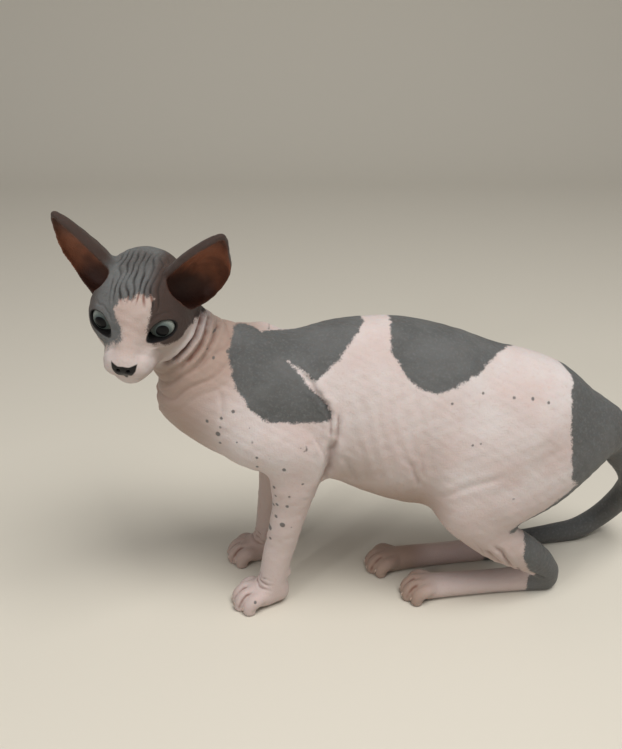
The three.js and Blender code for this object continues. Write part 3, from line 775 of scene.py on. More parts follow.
class LidSlit(Form):
    """The almond opening between the lids, cut outward along the gaze."""

    def __init__(self, eye: "Eye", frame: HeadFrame, wide: float = 9.9, tall: float = 6.8) -> None:
        """An opening of half width wide and half height tall.

        Args:
            eye: the eye behind it.
            frame: the head's frame.
            wide: half its width, in mm.
            tall: half its height, in mm.
        """
        at = frame.point(*eye.centre)
        self.eye_axes = frame.axes @ np.stack(eye.axes(), -1)
        self.wide, self.tall, self.eye_at = wide, tall, at
        super().__init__(1.0, True, at + self.eye_axes[:, 2] * 12, 16.0)

    def outline(self, p: Array) -> tuple[Array, Array]:
        """The distance outside the almond across the gaze, and the depth along the gaze.

        Args:
            p: points in the model's frame, one to a row.

        Returns:
            the distance across and the depth along.
        """
        x, y, z = ((p - self.eye_at) @ self.eye_axes).T
        inner = np.clip(-x / self.wide, 0.0, 1.4)
        y = y + 1.0 * inner**2
        flare = np.clip(z - 7.0, 0.0, 4.0) * 0.25
        high = np.where(y < 0, 0.72, 1.0) * self.tall * (1 - 0.2 * inner) + flare
        r = np.sqrt((x / (self.wide + flare)) ** 2 + (y / high) ** 2)
        return (r - 1.0) * self.tall * 0.9, z

    def distance(self, p: Array) -> Array:
        """Distances of points p from the opening."""
        across, along = self.outline(p)
        return np.maximum(across, 1.0 - along)


@dataclass
class Eye:
    """An eyeball with its bulging cornea. m is +1 for the left eye, -1 for the right one."""

    m: int
    radius: float = 11.0
    iris: float = 9.0
    bulge: float = 1.2
    place: tuple = (20.0, 18.6, 0.2)

    @property
    def word(self) -> str:
        """The side's name."""
        return "left" if self.m > 0 else "right"

    @property
    def centre(self) -> tuple:
        """The eyeball's middle in the head's frame."""
        x, y, z = self.place
        return (x, self.m * y, z)

    def axes(self) -> tuple[Array, Array, Array]:
        """Outward to the eye's outer corner, up, and along the gaze, in the head's frame.

        Returns:
            unit vectors across, up and along the gaze.
        """
        a = math.radians(17)
        gaze = unit((math.cos(a), self.m * math.sin(a), 0.06))
        across = np.array([-0.32, self.m * 0.93, 0.22])
        across = unit(across - gaze * (across @ gaze))
        return across, np.cross(gaze, across) * self.m, gaze

    def build(self, frame: HeadFrame, shift: Array) -> bpy.types.Object:
        """The eyeball as rings about the gaze, with the ring radius kept for its finish.

        Args:
            frame: the head's frame.
            shift: what moves the model's frame to the row's, in mm.

        Returns:
            the eyeball.
        """
        rings, sides = 72, 96
        across, up, gaze = (frame.axes @ a for a in self.axes())
        angle = np.pi * (np.arange(1, rings) / rings) ** 1.35
        out, along = self.radius * np.sin(angle), self.radius * np.cos(angle)
        dome = np.clip(1.0 - (out / (self.iris * 1.06)) ** 2, 0.0, 1.0) * (along > 0)
        along = along + self.bulge * dome**0.8
        turn = np.linspace(0, 2 * np.pi, sides, endpoint=False)
        at = frame.point(*self.centre)
        ring = np.cos(turn)[:, None] * across + np.sin(turn)[:, None] * up
        points = at + out[:, None, None] * ring + along[:, None, None] * gaze
        poles = [at + gaze * (self.radius + self.bulge), at - gaze * self.radius]
        vertices = np.vstack([points.reshape(-1, 3), *poles])
        faces = []
        for r in range(rings - 2):
            for i in range(sides):
                j = (i + 1) % sides
                a, b = r * sides, (r + 1) * sides
                faces.append((a + i, b + i, b + j, a + j))
        first, last = len(vertices) - 2, (rings - 2) * sides
        for i in range(sides):
            j = (i + 1) % sides
            faces.append((first, i, j))
            faces.append((len(vertices) - 1, last + j, last + i))
        if self.m < 0:
            faces = [f[::-1] for f in faces]
        piece = mesh_object(f"eyeball_{self.word}", vertices, faces, shift)
        local = (vertices - at) @ np.stack([across, up, gaze], -1)
        keep_points(piece, "eye_place", local / self.radius)
        return piece


def keep_values(piece: bpy.types.Object, name: str, values: Array) -> None:
    """Keeps one number for each vertex under a name that the finish reads."""
    layer = piece.data.attributes.new(name, "FLOAT", "POINT")
    layer.data.foreach_set("value", np.asarray(values, np.float32))


def keep_points(piece: bpy.types.Object, name: str, points: Array) -> None:
    """Keeps one point for each vertex under a name that the finish reads."""
    layer = piece.data.attributes.new(name, "FLOAT_VECTOR", "POINT")
    layer.data.foreach_set("vector", np.asarray(points, np.float32).ravel())


@dataclass
class Ear:
    """One large ear: an outer horn, less the cup that opens forward."""

    m: int
    rows: tuple = (
        (-12, 5, 20, 12), (-4, 6.8, 24.6, 13), (6, 6.5, 25.4, 13), (16, 4.8, 23.2, 11.5),
        (28, 2.2, 18, 9), (39, 1, 13, 6.8), (47, 0.5, 8.8, 5), (53, 0, 5, 3.2),
    )
    base: tuple = (-5.0, 29.5, 18.0)
    tip: tuple = (2.6, 57.3, 67.2)
    facing: tuple = (0.8, 0.5, -0.32)
    wall: float = 2.2
    cup_shift: float = 3.8
    cup_aside: float = -0.8

    def axes(self) -> tuple[Array, Array, Array, Array]:
        """Base, and the directions up the ear, out of its cup and across it.

        Returns:
            its base, and unit vectors up, facing and across.
        """
        flip = np.array([1, self.m, 1])
        base = np.array(self.base) * flip
        up = unit(np.array(self.tip) * flip - base)
        facing = np.array(self.facing) * flip
        facing = unit(facing - up * (facing @ up))
        across = np.cross(up, facing)
        return base, up, facing, across * np.sign(across[1] * self.m)

    def forms(self, frame: HeadFrame) -> list[Form]:
        """The horn and its cup.

        Args:
            frame: the head's frame.

        Returns:
            the horn and the cup that is cut from it.
        """
        base, up, facing, across = self.axes()
        horn, cup = [], []
        for i, (height, sideways, half, depth) in enumerate(self.rows):
            at = base + up * height + across * sideways
            horn.append((*at, half, depth))
            if i > 1:
                aside = self.cup_aside * (1 - height / self.rows[-1][0])
                inner = at - up + facing * self.cup_shift + across * aside
                deep = depth + self.cup_shift - self.wall
                cup.append((*inner, half - self.wall - aside, deep))
        return [frame.limb(horn, 6, facing), frame.limb(cup, 1.2, facing, True)]


@dataclass
class Head:
    """Skull, cheeks, snout, chin, lids, nose, mouth and ears."""

    frame: HeadFrame = field(default_factory=HeadFrame)
    mouth: tuple = (
        (27, 17, -26), (35, 15, -29), (44, 11, -30.5), (51, 5, -29.5), (54, 0, -28),
    )

    def eyes(self) -> list[Eye]:
        """The left and right eyes."""
        return [Eye(1), Eye(-1)]

    def slits(self) -> list[LidSlit]:
        """The openings between the lids."""
        return [LidSlit(eye, self.frame) for eye in self.eyes()]

    def forms(self) -> list[Form]:
        """All that the head adds and takes away.

        Returns:
            the forms, those that are cut last.
        """
        lump, limb = self.frame.lump, self.frame.limb
        made = [
            lump((-8, 0, 6), (36, 31, 27), 6),
            lump((8, 0, 6), (27, 29, 20), 14),
            limb([(14, 0, -6, 18, 23), (32, 0, -11, 12, 17), (45, 0, -16, 8.5, 12)], 14),
            limb([(22, 0, 8, 9, 9), (40, 0, -5, 6.5, 6.5), (51, 0, -12.5, 4.2, 5.6)], 8),
            limb([(24, 0, -28, 8.5, 12), (42, 0, -34, 6.4, 8.5)], 6),
            lump((53.5, 0, -16.5), (4.2, 6.4, 4.4), 3),
        ]
        for m in (1, -1):
            made += [
                lump((9, m * 15.6, -7.5), (22, 18.4, 15.4), 14),
                lump((42, m * 8.2, -21.5), (12.5, 9, 8.6), 8),
                limb([(-10, m * 20, -18, 9, 8), (12, m * 17, -23, 8, 7), (34, m * 8, -28, 7, 6)], 12),
            ]
            made += Ear(m).forms(self.frame)
        for eye in self.eyes():
            gaze = eye.axes()[2]
            made.append(lump(tuple(eye.centre + gaze * 0.4), (eye.radius + 0.5,) * 3, 5))
        made += self.slits()
        for m in (1, -1):
            made.append(lump((56.3, m * 3.3, -17.2), (2.6, 1.5, 1.2), 0.8, True))
            line = [(x, m * y, z - 0.4, 0.8, 0.8) for x, y, z in self.mouth]
            made.append(limb(line, 1.0, cut=True))
        made.append(limb([(58, 0, -21, 0.6, 0.6), (55, 0, -28, 0.6, 0.6)], 0.8, cut=True))
        return made


# How far the far hind leg is set forward of the near one.
FAR_HIND_SHIFT = -28.0
FORELEGS = (
    Foreleg(
        Side.LEFT,
        ((-36, -17, 222, 8, 6), (-45, -26, 197, 19, 13), (-54, -31, 172, 24, 17),
         (-44, -36, 158, 23, 17), (-18, -38, 150, 20, 15), (-3, -38, 145, 15, 12)),
        ((-12, -38, 150, 20, 15), (-14, -36, 118, 18, 15), (-16, -34, 99, 14.8, 13),
         (-20, -33, 81, 13.3, 12), (-24, -31, 62, 12.6, 11), (-28, -30, 46, 12, 11),
         (-32, -29, 22, 11.3, 11.3)),
        (-34, -28), 14,
    ),
    Foreleg(
        Side.RIGHT,
        ((-38, 17, 222, 8, 6), (-48, 26, 197, 19, 13), (-60, 31, 172, 24, 17),
         (-52, 36, 158, 23, 17), (-30, 38, 150, 20, 15), (-16, 38, 145, 15, 12)),
        ((-25, 38, 150, 20, 15), (-27, 37, 118, 18, 15), (-30, 36, 99, 14.8, 13),
         (-31, 36, 81, 13.3, 12), (-33, 36, 62, 12.6, 11), (-35, 36, 46, 12, 11),
         (-38, 36, 22, 11.3, 11.3)),
        (-42, 35), 8,
    ),
)
HIND_LEGS = (
    HindLeg(
        Side.LEFT, 0.0,
        ((226, 13, 152, 24, 15), (206, 21, 139, 27, 19), (178, 31, 118, 27, 20),
         (152, 36, 99, 22, 18)),
        ((122, 38, 94, 18, 16), (132, 38, 80, 18, 16), (152, 35, 63, 17.5, 14.5),
         (172, 31, 49, 15.5, 12.5), (188, 24, 35, 12.8, 11), (198, 17, 21, 11.2, 11)),
        (207, -12), (73, -25),
    ),
    HindLeg(
        Side.RIGHT, FAR_HIND_SHIFT,
        ((254, 13, 147, 22, 15), (238, 21, 129, 26, 19), (207, 31, 107, 27, 20),
         (170, 36, 93, 22, 18)),
        ((122, 38, 94, 18, 16), (132, 38, 80, 18, 16), (152, 36, 63, 17.5, 14.5),
         (172, 34, 49, 15.5, 12.5), (188, 31, 35, 12.8, 11), (198, 29, 21, 11.2, 11)),
        (178, 32), (46, 13),
    ),
)


# Folds and markings of the skin


def line_distance(p: Array, line: Array) -> tuple[Array, Array]:
    """How far points are from a bent line, and how far along it, from 0 to 1, they are nearest.

    Args:
        p: points.
        line: the corners of the line.

    Returns:
        the distances and the shares along the line.
    """
    runs = np.linalg.norm(np.diff(line, axis=0), axis=1)
    ends = np.concatenate([[0.0], np.cumsum(runs)]) / runs.sum()
    best, along = np.full(len(p), np.inf), np.zeros(len(p))
    for i, run in enumerate(np.diff(line, axis=0)):
        t = np.clip((p - line[i]) @ run / (run @ run), 0.0, 1.0)
        d = np.linalg.norm(p - line[i] - t[:, None] * run, axis=1)
        closer = d < best
        best[closer] = d[closer]
        along[closer] = (ends[i] + (ends[i + 1] - ends[i]) * t)[closer]
    return best, along


def outline_depth(p: Array, outline: tuple) -> Array:
    """How deep flat points lie inside a closed outline, below 0 outside it.

    Args:
        p: flat points.
        outline: its corners in turn.

    Returns:
        depths in the unit of the outline.
    """
    corners = np.array(outline, float)
    inside, best = np.zeros(len(p), bool), np.full(len(p), np.inf)
    for a, b in zip(corners, np.roll(corners, -1, 0)):
        run = b - a
        t = np.clip((p - a) @ run / (run @ run), 0.0, 1.0)
        best = np.minimum(best, np.linalg.norm(p - a - t[:, None] * run, axis=1))
        spans = (a[1] > p[:, 1]) != (b[1] > p[:, 1])
        rise = run[1] if run[1] else 1.0
        inside ^= spans & (p[:, 0] < a[0] + run[0] * (p[:, 1] - a[1]) / rise)
    return np.where(inside, best, -best)


def ripple(p: Array, size: float, seed: int) -> Array:
    """A smooth uneven value between about -1 and 1 whose swells are about size across.

    Args:
        p: points in the model's frame, one to a row.
        size: how far apart the swells are, in mm.
        seed: where the draw starts.

    Returns:
        one value for each point.
    """
    draw = np.random.default_rng(seed)
    total = np.zeros(len(p))
    for _ in range(7):
        way = unit(draw.normal(size=3)) * 2 * np.pi / size * draw.uniform(0.6, 1.3)
        total += np.sin(p @ way + draw.uniform(0, 2 * np.pi))
    return total / 2.6


@dataclass(frozen=True)
class Crease:
    """A fold line: points on the skin, its half width and depth, and how much painted shade, dark red,
    fills its floor.
    """

    points: tuple
    width: float = 1.2
    depth: float = 0.9
    red: float = 0.6

    def cut(self, p: Array, away: float = 12.0) -> tuple[Array, Array]:
        """The relief and the painted shade that the fold gives at points p.

        Args:
            p: points in the model's frame, one to a row.
            away: how far from the line it is looked for, in mm.

        Returns:
            the relief in mm and the share of painted shade at each point.
        """
        line = curve_path(np.array(self.points, float), 4)
        relief, shade_share = np.zeros(len(p)), np.zeros(len(p))
        low, high = line.min(0) - away, line.max(0) + away
        near = np.flatnonzero(((p > low) & (p < high)).all(1))
        line = np.array([p[near[np.argmin(((p[near] - c) ** 2).sum(1))]] for c in line])
        for _ in range(4):
            line[1:-1] = line[1:-1] * 0.5 + (line[:-2] + line[2:]) * 0.25
        d, along = line_distance(p[near] + 0.5 * ripple(p[near], 9.0, 5)[:, None], line)
        fade = step_up(along, 0.0, 0.25) * (1.0 - step_up(along, 0.75, 1.0))
        groove = np.exp(-((d / self.width) ** 2))
        bank = np.exp(-(((d - 2.4 * self.width) / (1.3 * self.width)) ** 2))
        relief[near] = fade * self.depth * (0.35 * bank - groove)
        shade_share[near] = fade * groove * self.red
        return relief, shade_share


# Fold lines on the near side in the model's frame. Those of the body have a twin on the far one.
BODY_CREASES = (
    Crease(((-16, -28, 217), (-8, -33, 212), (0, -39, 205), (8, -45, 196), (15, -49, 186),
            (16, -51, 172)), 1.8, 1.7, 0.3),
    Crease(((-8, -36, 208), (4, -43, 198), (13, -48, 187), (14, -51, 172), (14, -51, 156)),
           1.6, 1.8, 0.6),
    Crease(((19, -47, 190), (20, -51, 176), (17, -52, 162), (15, -50, 148)), 2.0, 2.0, 0.6),
    Crease(((12, -51, 168), (14, -52, 156), (15, -51, 144), (14, -48, 130), (10, -43, 118),
            (7, -36, 112)), 3.2, 3.6, 0.55),
    Crease(((22, -52, 152), (27, -52, 140), (30, -50, 126), (28, -44, 114)), 2.2, 1.3, 0.25),
    Crease(((-2, -52, 172), (7, -53, 160), (11, -51, 148), (8, -48, 136)), 1.2, 0.8, 0.4),
    Crease(((72, -54, 152), (76, -55, 142), (79, -54, 131), (84, -48, 117)), 2.0, 1.4, 0.4),
    Crease(((82, -54, 148), (84, -55, 138), (87, -53, 127)), 1.6, 0.8, 0.3),
    Crease(((97, -45, 112), (112, -50, 122), (130, -55, 130), (150, -54, 134)), 2.4, 0.7, 0.2),
    Crease(((-70, -46, 205), (-66, -48, 190), (-70, -46, 174)), 2.0, 0.6, 0.2),
)
SHANK_CREASES = (
    Crease(((134, -52, 66), (144, -50, 56), (151, -46, 42), (154, -42, 28)), 1.8, 1.7, 0.6),
    Crease(((142, -52, 70), (153, -50, 58), (160, -45, 43), (163, -40, 27)), 1.8, 1.9, 0.6),
    Crease(((126, -51, 76), (136, -49, 60), (143, -45, 44)), 1.3, 1.2, 0.6),
    Crease(((166, -42, 44), (170, -38, 30), (172, -32, 16)), 1.3, 1.4, 0.8),
    Crease(((176, -39, 33), (186, -32, 26), (198, -26, 20)), 1.2, 1.0, 0.6),
)
# Fold lines of the head and throat in the head's frame, on its left side, with a twin on the right.
HEAD_CREASES = (
    Crease(((-24, 41, -16), (-11, 42, -13), (4, 41.5, -17), (15, 35, -26), (20, 24, -37),
            (20, 10, -45)), 1.7, 2.9, 1.0),
    Crease(((-24, 46, -24), (-11, 45.5, -17), (6, 46.5, -24), (17, 40, -33), (21.4, 29, -45)),
           1.6, 2.5, 0.9),
    Crease(((0, 41, -14), (12.6, 38, -24), (18, 31, -31), (19.3, 20, -41)), 1.3, 1.9, 0.9),
    Crease(((-22, 50, -34), (-6, 51, -26), (9, 50, -33), (20, 41, -46)), 1.7, 1.9, 0.6),
    Crease(((36.5, 12, 6), (33, 15.5, 11.5), (28, 22, 14.5), (22, 29, 12)), 0.8, 0.6, 0.3),
    Crease(((38, 14, -7.5), (34, 21, -10.5), (28, 27.5, -10.5)), 0.8, 0.6, 0.4),
    Crease(((48, 7, -6), (44, 12, -12), (41, 15, -19)), 1.6, 0.5, 0.1),
)

# Broad swells of the near side with a twin on the far one: centre, spread and height.
SWELLS = (
    ((86, 52, 140), (11, 40, 30), -3.2), ((104, 52, 128), (10, 40, 34), 2.0),
    ((6, 50, 122), (9, 30, 12), 2.2), ((-14, 52, 178), (16, 40, 26), 1.4),
    ((30, 50, 160), (12, 40, 34), -2.0), ((176, 44, 168), (14, 40, 16), 1.8),
    ((136, 52, 176), (22, 40, 12), -1.2), ((140, 50, 108), (26, 40, 14), 1.2),
    ((150, 40, 72), (14, 40, 12), -1.4),
)

# The top of the neck and the way down it.
NECK_AT = (-97, -6, 225)
NECK_WAY = (0.57, 0.22, -0.79)

# Outlines of the slate patches on the trunk: X, and the girth from the spine down the left side.
GIRTH = 50.0
SHOULDER_PATCH = (
    (-57, -6), (-46, -2), (-37, 5), (-26, -2), (-8, -10), (22, -12), (39, -10), (39, 4), (38, 8),
    (33, 15), (24, 26), (15, 34), (5, 42), (1, 44), (5, 51), (10, 58), (14, 65), (15, 72),
    (3, 74), (-9, 73), (-21, 74), (-31, 74), (-40, 70), (-48, 60), (-56, 50), (-59, 40),
    (-61, 27), (-59, 12),
)
BACK_PATCH = (
    (60, -8), (60, 4), (59, 14), (59, 24), (65, 30), (71, 38), (77, 41), (84, 43), (92, 44),
    (99, 42), (110, 37), (120, 31), (127, 27), (133, 21), (146, 8), (162, -12), (150, -34),
    (124, -50), (96, -46), (76, -30),
)
RUMP_PATCH = (
    (194, -8), (197, 14), (199, 28), (196, 51), (196, 74), (198, 91), (199, 103), (200, 112),
    (212, 124), (330, 170), (330, -170), (206, -150), (186, -110), (190, -80), (200, -60),
    (188, -34),
)
WHITE_STREAK = ((-17, 27), (-8, 35), (0, 44), (8, 55), (15, 67))
FAR_PATCH = ((-30, -96), (-2, -108), (26, -92), (30, -70), (8, -58), (-20, -66))
# Rear of the shank and heel: X and Z, on the near side.
HOCK_PATCH = (
    (171, 73), (182, 76), (230, 60), (230, -9), (181, -9), (182, 3), (182, 12), (186, 26),
    (178, 35), (170, 52),
)
# The pale part of the face: turn about the skull to the left, and height, in the head's frame.
FACE_TURN = 40.0
PALE_FACE = (
    (17.4, 22.5), (13, 16.9), (11.3, 9.8), (9.8, 3.4), (12.9, -5.3), (17.6, -8.5),
    (24.3, -11.6), (29.1, -11.7), (37.3, -8.1), (53.6, -9.6), (77.6, -18.6), (135, -30),
    (135, -90), (-135, -90), (-135, -30), (-77.6, -18.6), (-53.6, -9.6), (-37.3, -8.1),
    (-27.2, -9), (-22.3, -14.8), (-13.8, -17.1), (-11.3, -10.2), (-2.5, 0.8), (-3.2, 5),
    (-7.1, 9.6), (-11.6, 15.6), (-6.7, 21.4), (-0.8, 22.5), (4.5, 24.3),
)
NOSE_LEATHER = (
    (-9.2, -12.6), (-4, -13.8), (0, -13.2), (4, -13.8), (9.2, -12.6), (8.4, -17.5), (5, -22.5),
    (1.8, -26), (0.8, -31), (-0.8, -31), (-1.8, -26), (-5, -22.5), (-8.4, -17.5),
)
# Freckles: place and radius on the near side.
FRECKLES = (
    (-58, -48, 187, 1.4), (-67, -47, 181, 1.2), (-78, -43, 177, 1.3), (-68, -48, 174, 1.0),
    (-70, -47, 168, 1.9), (-72, -18, 239, 1.1), (-4, -54, 158, 1.1), (-21, -54, 141, 1.5),
    (-7, -51, 127, 1.1), (-29, -44, 120, 1.2), (-27, -43, 104, 1.3), (-30, -38, 101, 1.1),
    (-19, -48, 105, 1.4), (-28, -42, 92, 1.3), (-33, -36, 79, 1.4), (-23, -45, 86, 2.2),
    (-33, -38, 69, 1.1), (-46, -49, 14, 1.2), (104, -46, 191, 1.0), (128, -39, 196, 1.0),
    (151, -40, 193, 1.1), (165, -40, 192, 1.2), (177, -41, 189, 1.1), (120, -53, 160, 1.0),
    (126, -53, 161, 0.8), (154, -56, 115, 1.0),
)


@dataclass
class Relief:
    """Raises and carves the bare surface, and keeps how much painted shade each point takes in a fold.
    """

    head: Head
    furrow: float = 4.3
    furrow_depth: float = 1.5
    throat_spacing: float = 8.5
    ear_ridge: float = 1.3
    rib_spacing: float = 10.5
    rib_lift: float = 0.3

    def creases(self) -> list[Crease]:
        """Every fold line in the model's frame, on both sides.

        Returns:
            the fold lines in the model's frame.
        """
        made = []
        for side in Side:
            s = -side.value
            for crease in (*BODY_CREASES, *SHANK_CREASES):
                slide = FAR_HIND_SHIFT if side is Side.RIGHT and crease in SHANK_CREASES else 0.0
                line = tuple((x + slide, y * s, z) for x, y, z in crease.points)
                made.append(Crease(line, crease.width, crease.depth, crease.red))
            for crease in HEAD_CREASES:
                line = tuple(tuple(self.head.frame.point(x, y * s, z)) for x, y, z in crease.points)
                made.append(Crease(line, crease.width, crease.depth, crease.red))
        for leg in FORELEGS:
            x, y, z = leg.forearm[-1][:3]
            toes = leg.foot().clefts()
            made += [Crease(line, 1.3, 1.3, 0.8) for line in toes]
            for rise in (-1.0, 3.5, 8.0):
                arc = np.linspace(-1.9, 1.9, 7)
                ring = tuple(
                    (x - 12 * math.cos(a) - 1, y + 11.5 * math.sin(a), z + rise + 1.5 * math.cos(2 * a))
                    for a in arc
                )
                made.append(Crease(ring, 1.0, 0.8, 0.6))
        for leg in HIND_LEGS:
            made += [Crease(line, 1.3, 1.3, 0.8) for line in leg.foot().clefts()]
        return made

    def forehead(self, p: Array) -> tuple[Array, Array]:
        """Wavy furrows that run back over the brow and crown.

        Args:
            p: points in the model's frame, one to a row.

        Returns:
            relief in mm and share of painted shade in the furrows.
        """
        x, y, z = self.head.frame.local(p).T
        bend = y + 1.1 * np.sin(0.21 * x + 0.35 * y) + 0.7 * ripple(p, 16.0, 3)
        wave = 0.5 + 0.5 * np.cos(2 * np.pi * bend / self.furrow)
        groove = wave**2.2
        brow, edges, crown, front = (12, 19), (15, 21), (-26, -8), (25, 32)
        room = step_up(z, *brow) * (1 - step_up(np.abs(y - 1), *edges)) * step_up(x, *crown)
        room *= 1 - step_up(x, *front) * 0.85
        patchy = 0.6 + 0.4 * step_up(ripple(p, 22.0, 8), -0.5, 0.4)
        lift = -self.furrow_depth * (groove - 0.35)
        return lift * room * patchy, groove * room * patchy

    def throat(self, p: Array) -> tuple[Array, Array]:
        """Soft rings of loose skin round the neck.

        Args:
            p: points in the model's frame, one to a row.

        Returns:
            relief in mm and share of painted shade in the grooves of the rings.
        """
        t = (p - np.array(NECK_AT)) @ np.array(NECK_WAY) + 2.0 * ripple(p, 40.0, 11)
        room = between(t, (-6, 6), (16, 34))
        room *= (1 - step_up(p[:, 0], -60, -40)) * (p[:, 2] > 150)
        groove = (0.5 + 0.5 * np.cos(2 * np.pi * t / self.throat_spacing)) ** 3
        return -groove * room, 0.35 * groove * room

    def ears(self, p: Array) -> Array:
        """Lengthwise ridges inside each ear.

        Args:
            p: points in the model's frame, one to a row.

        Returns:
            relief in mm.
        """
        total = np.zeros(len(p))
        local = self.head.frame.local(p)
        for m in (1, -1):
            ear = Ear(m)
            base, up, facing, across = ear.axes()
            h, s, f = (local - base) @ up, (local - base) @ across, (local - base) @ facing
            cup = ear.forms(self.head.frame)[1]
            inside = np.flatnonzero((np.abs(h - 20) < 40) & (np.abs(s) < 32) & (np.abs(f) < 25))
            inner = np.abs(cup.distance(p[inside])) < 0.8
            where = inside[inner]
            h, s = h[where], s[where]
            low = between(h, (-6, 4), (18, 34))
            ridge = np.exp(-(((s + 7 - 0.1 * h) / 1.8) ** 2)) + np.exp(-(((s - 3) / 1.6) ** 2))
            ridge += 0.7 * np.exp(-(((s - 12 + 0.15 * h) / 1.8) ** 2))
            total[where] += self.ear_ridge * ridge * low
        return total

    def muscle(self, p: Array) -> Array:
        """The broad swells and hollows under the skin of the trunk and haunch.

        Args:
            p: points in the model's frame, one to a row.

        Returns:
            relief in mm.
        """
        total = np.zeros(len(p))
        for centre, radii, lift in SWELLS:
            for s in (-1, 1):
                away = (p - np.array(centre) * (1, s, 1)) / np.array(radii)
                total += lift * np.exp(-(away**2).sum(1))
        x, _, z = p.T
        room = between(x, (22, 40), (78, 96)) * between(z, (104, 125), (190, 215))
        slant = x + 0.28 * (z - 150) + 1.5 * ripple(p, 30.0, 17)
        return total + self.rib_lift * np.cos(2 * np.pi * slant / self.rib_spacing) * room

    def carve(self, shell: Shell) -> Array:
        """Moves the surface in and out, and gives the painted shade of the folds at each vertex.

        Args:
            shell: the surface to carve.

        Returns:
            the share of painted shade from 0 to 1.
        """
        p = shell.vertices
        lift, fold = np.zeros(len(p)), np.zeros(len(p))
        for crease in self.creases():
            relief, shade_share = crease.cut(p)
            lift += relief
            fold = np.maximum(fold, shade_share)
        for relief, shade_share in (self.forehead(p), self.throat(p)):
            lift += relief
            fold = np.maximum(fold, shade_share)
        lift += self.ears(p) + self.muscle(p)
        lift += 0.12 * ripple(p, 7.0, 21) * step_up(p[:, 2], 30, 60)
        lift *= step_up(p[:, 2], 0.0, 4.0)
        shell.vertices = p + shell.normals() * lift[:, None]
        return fold


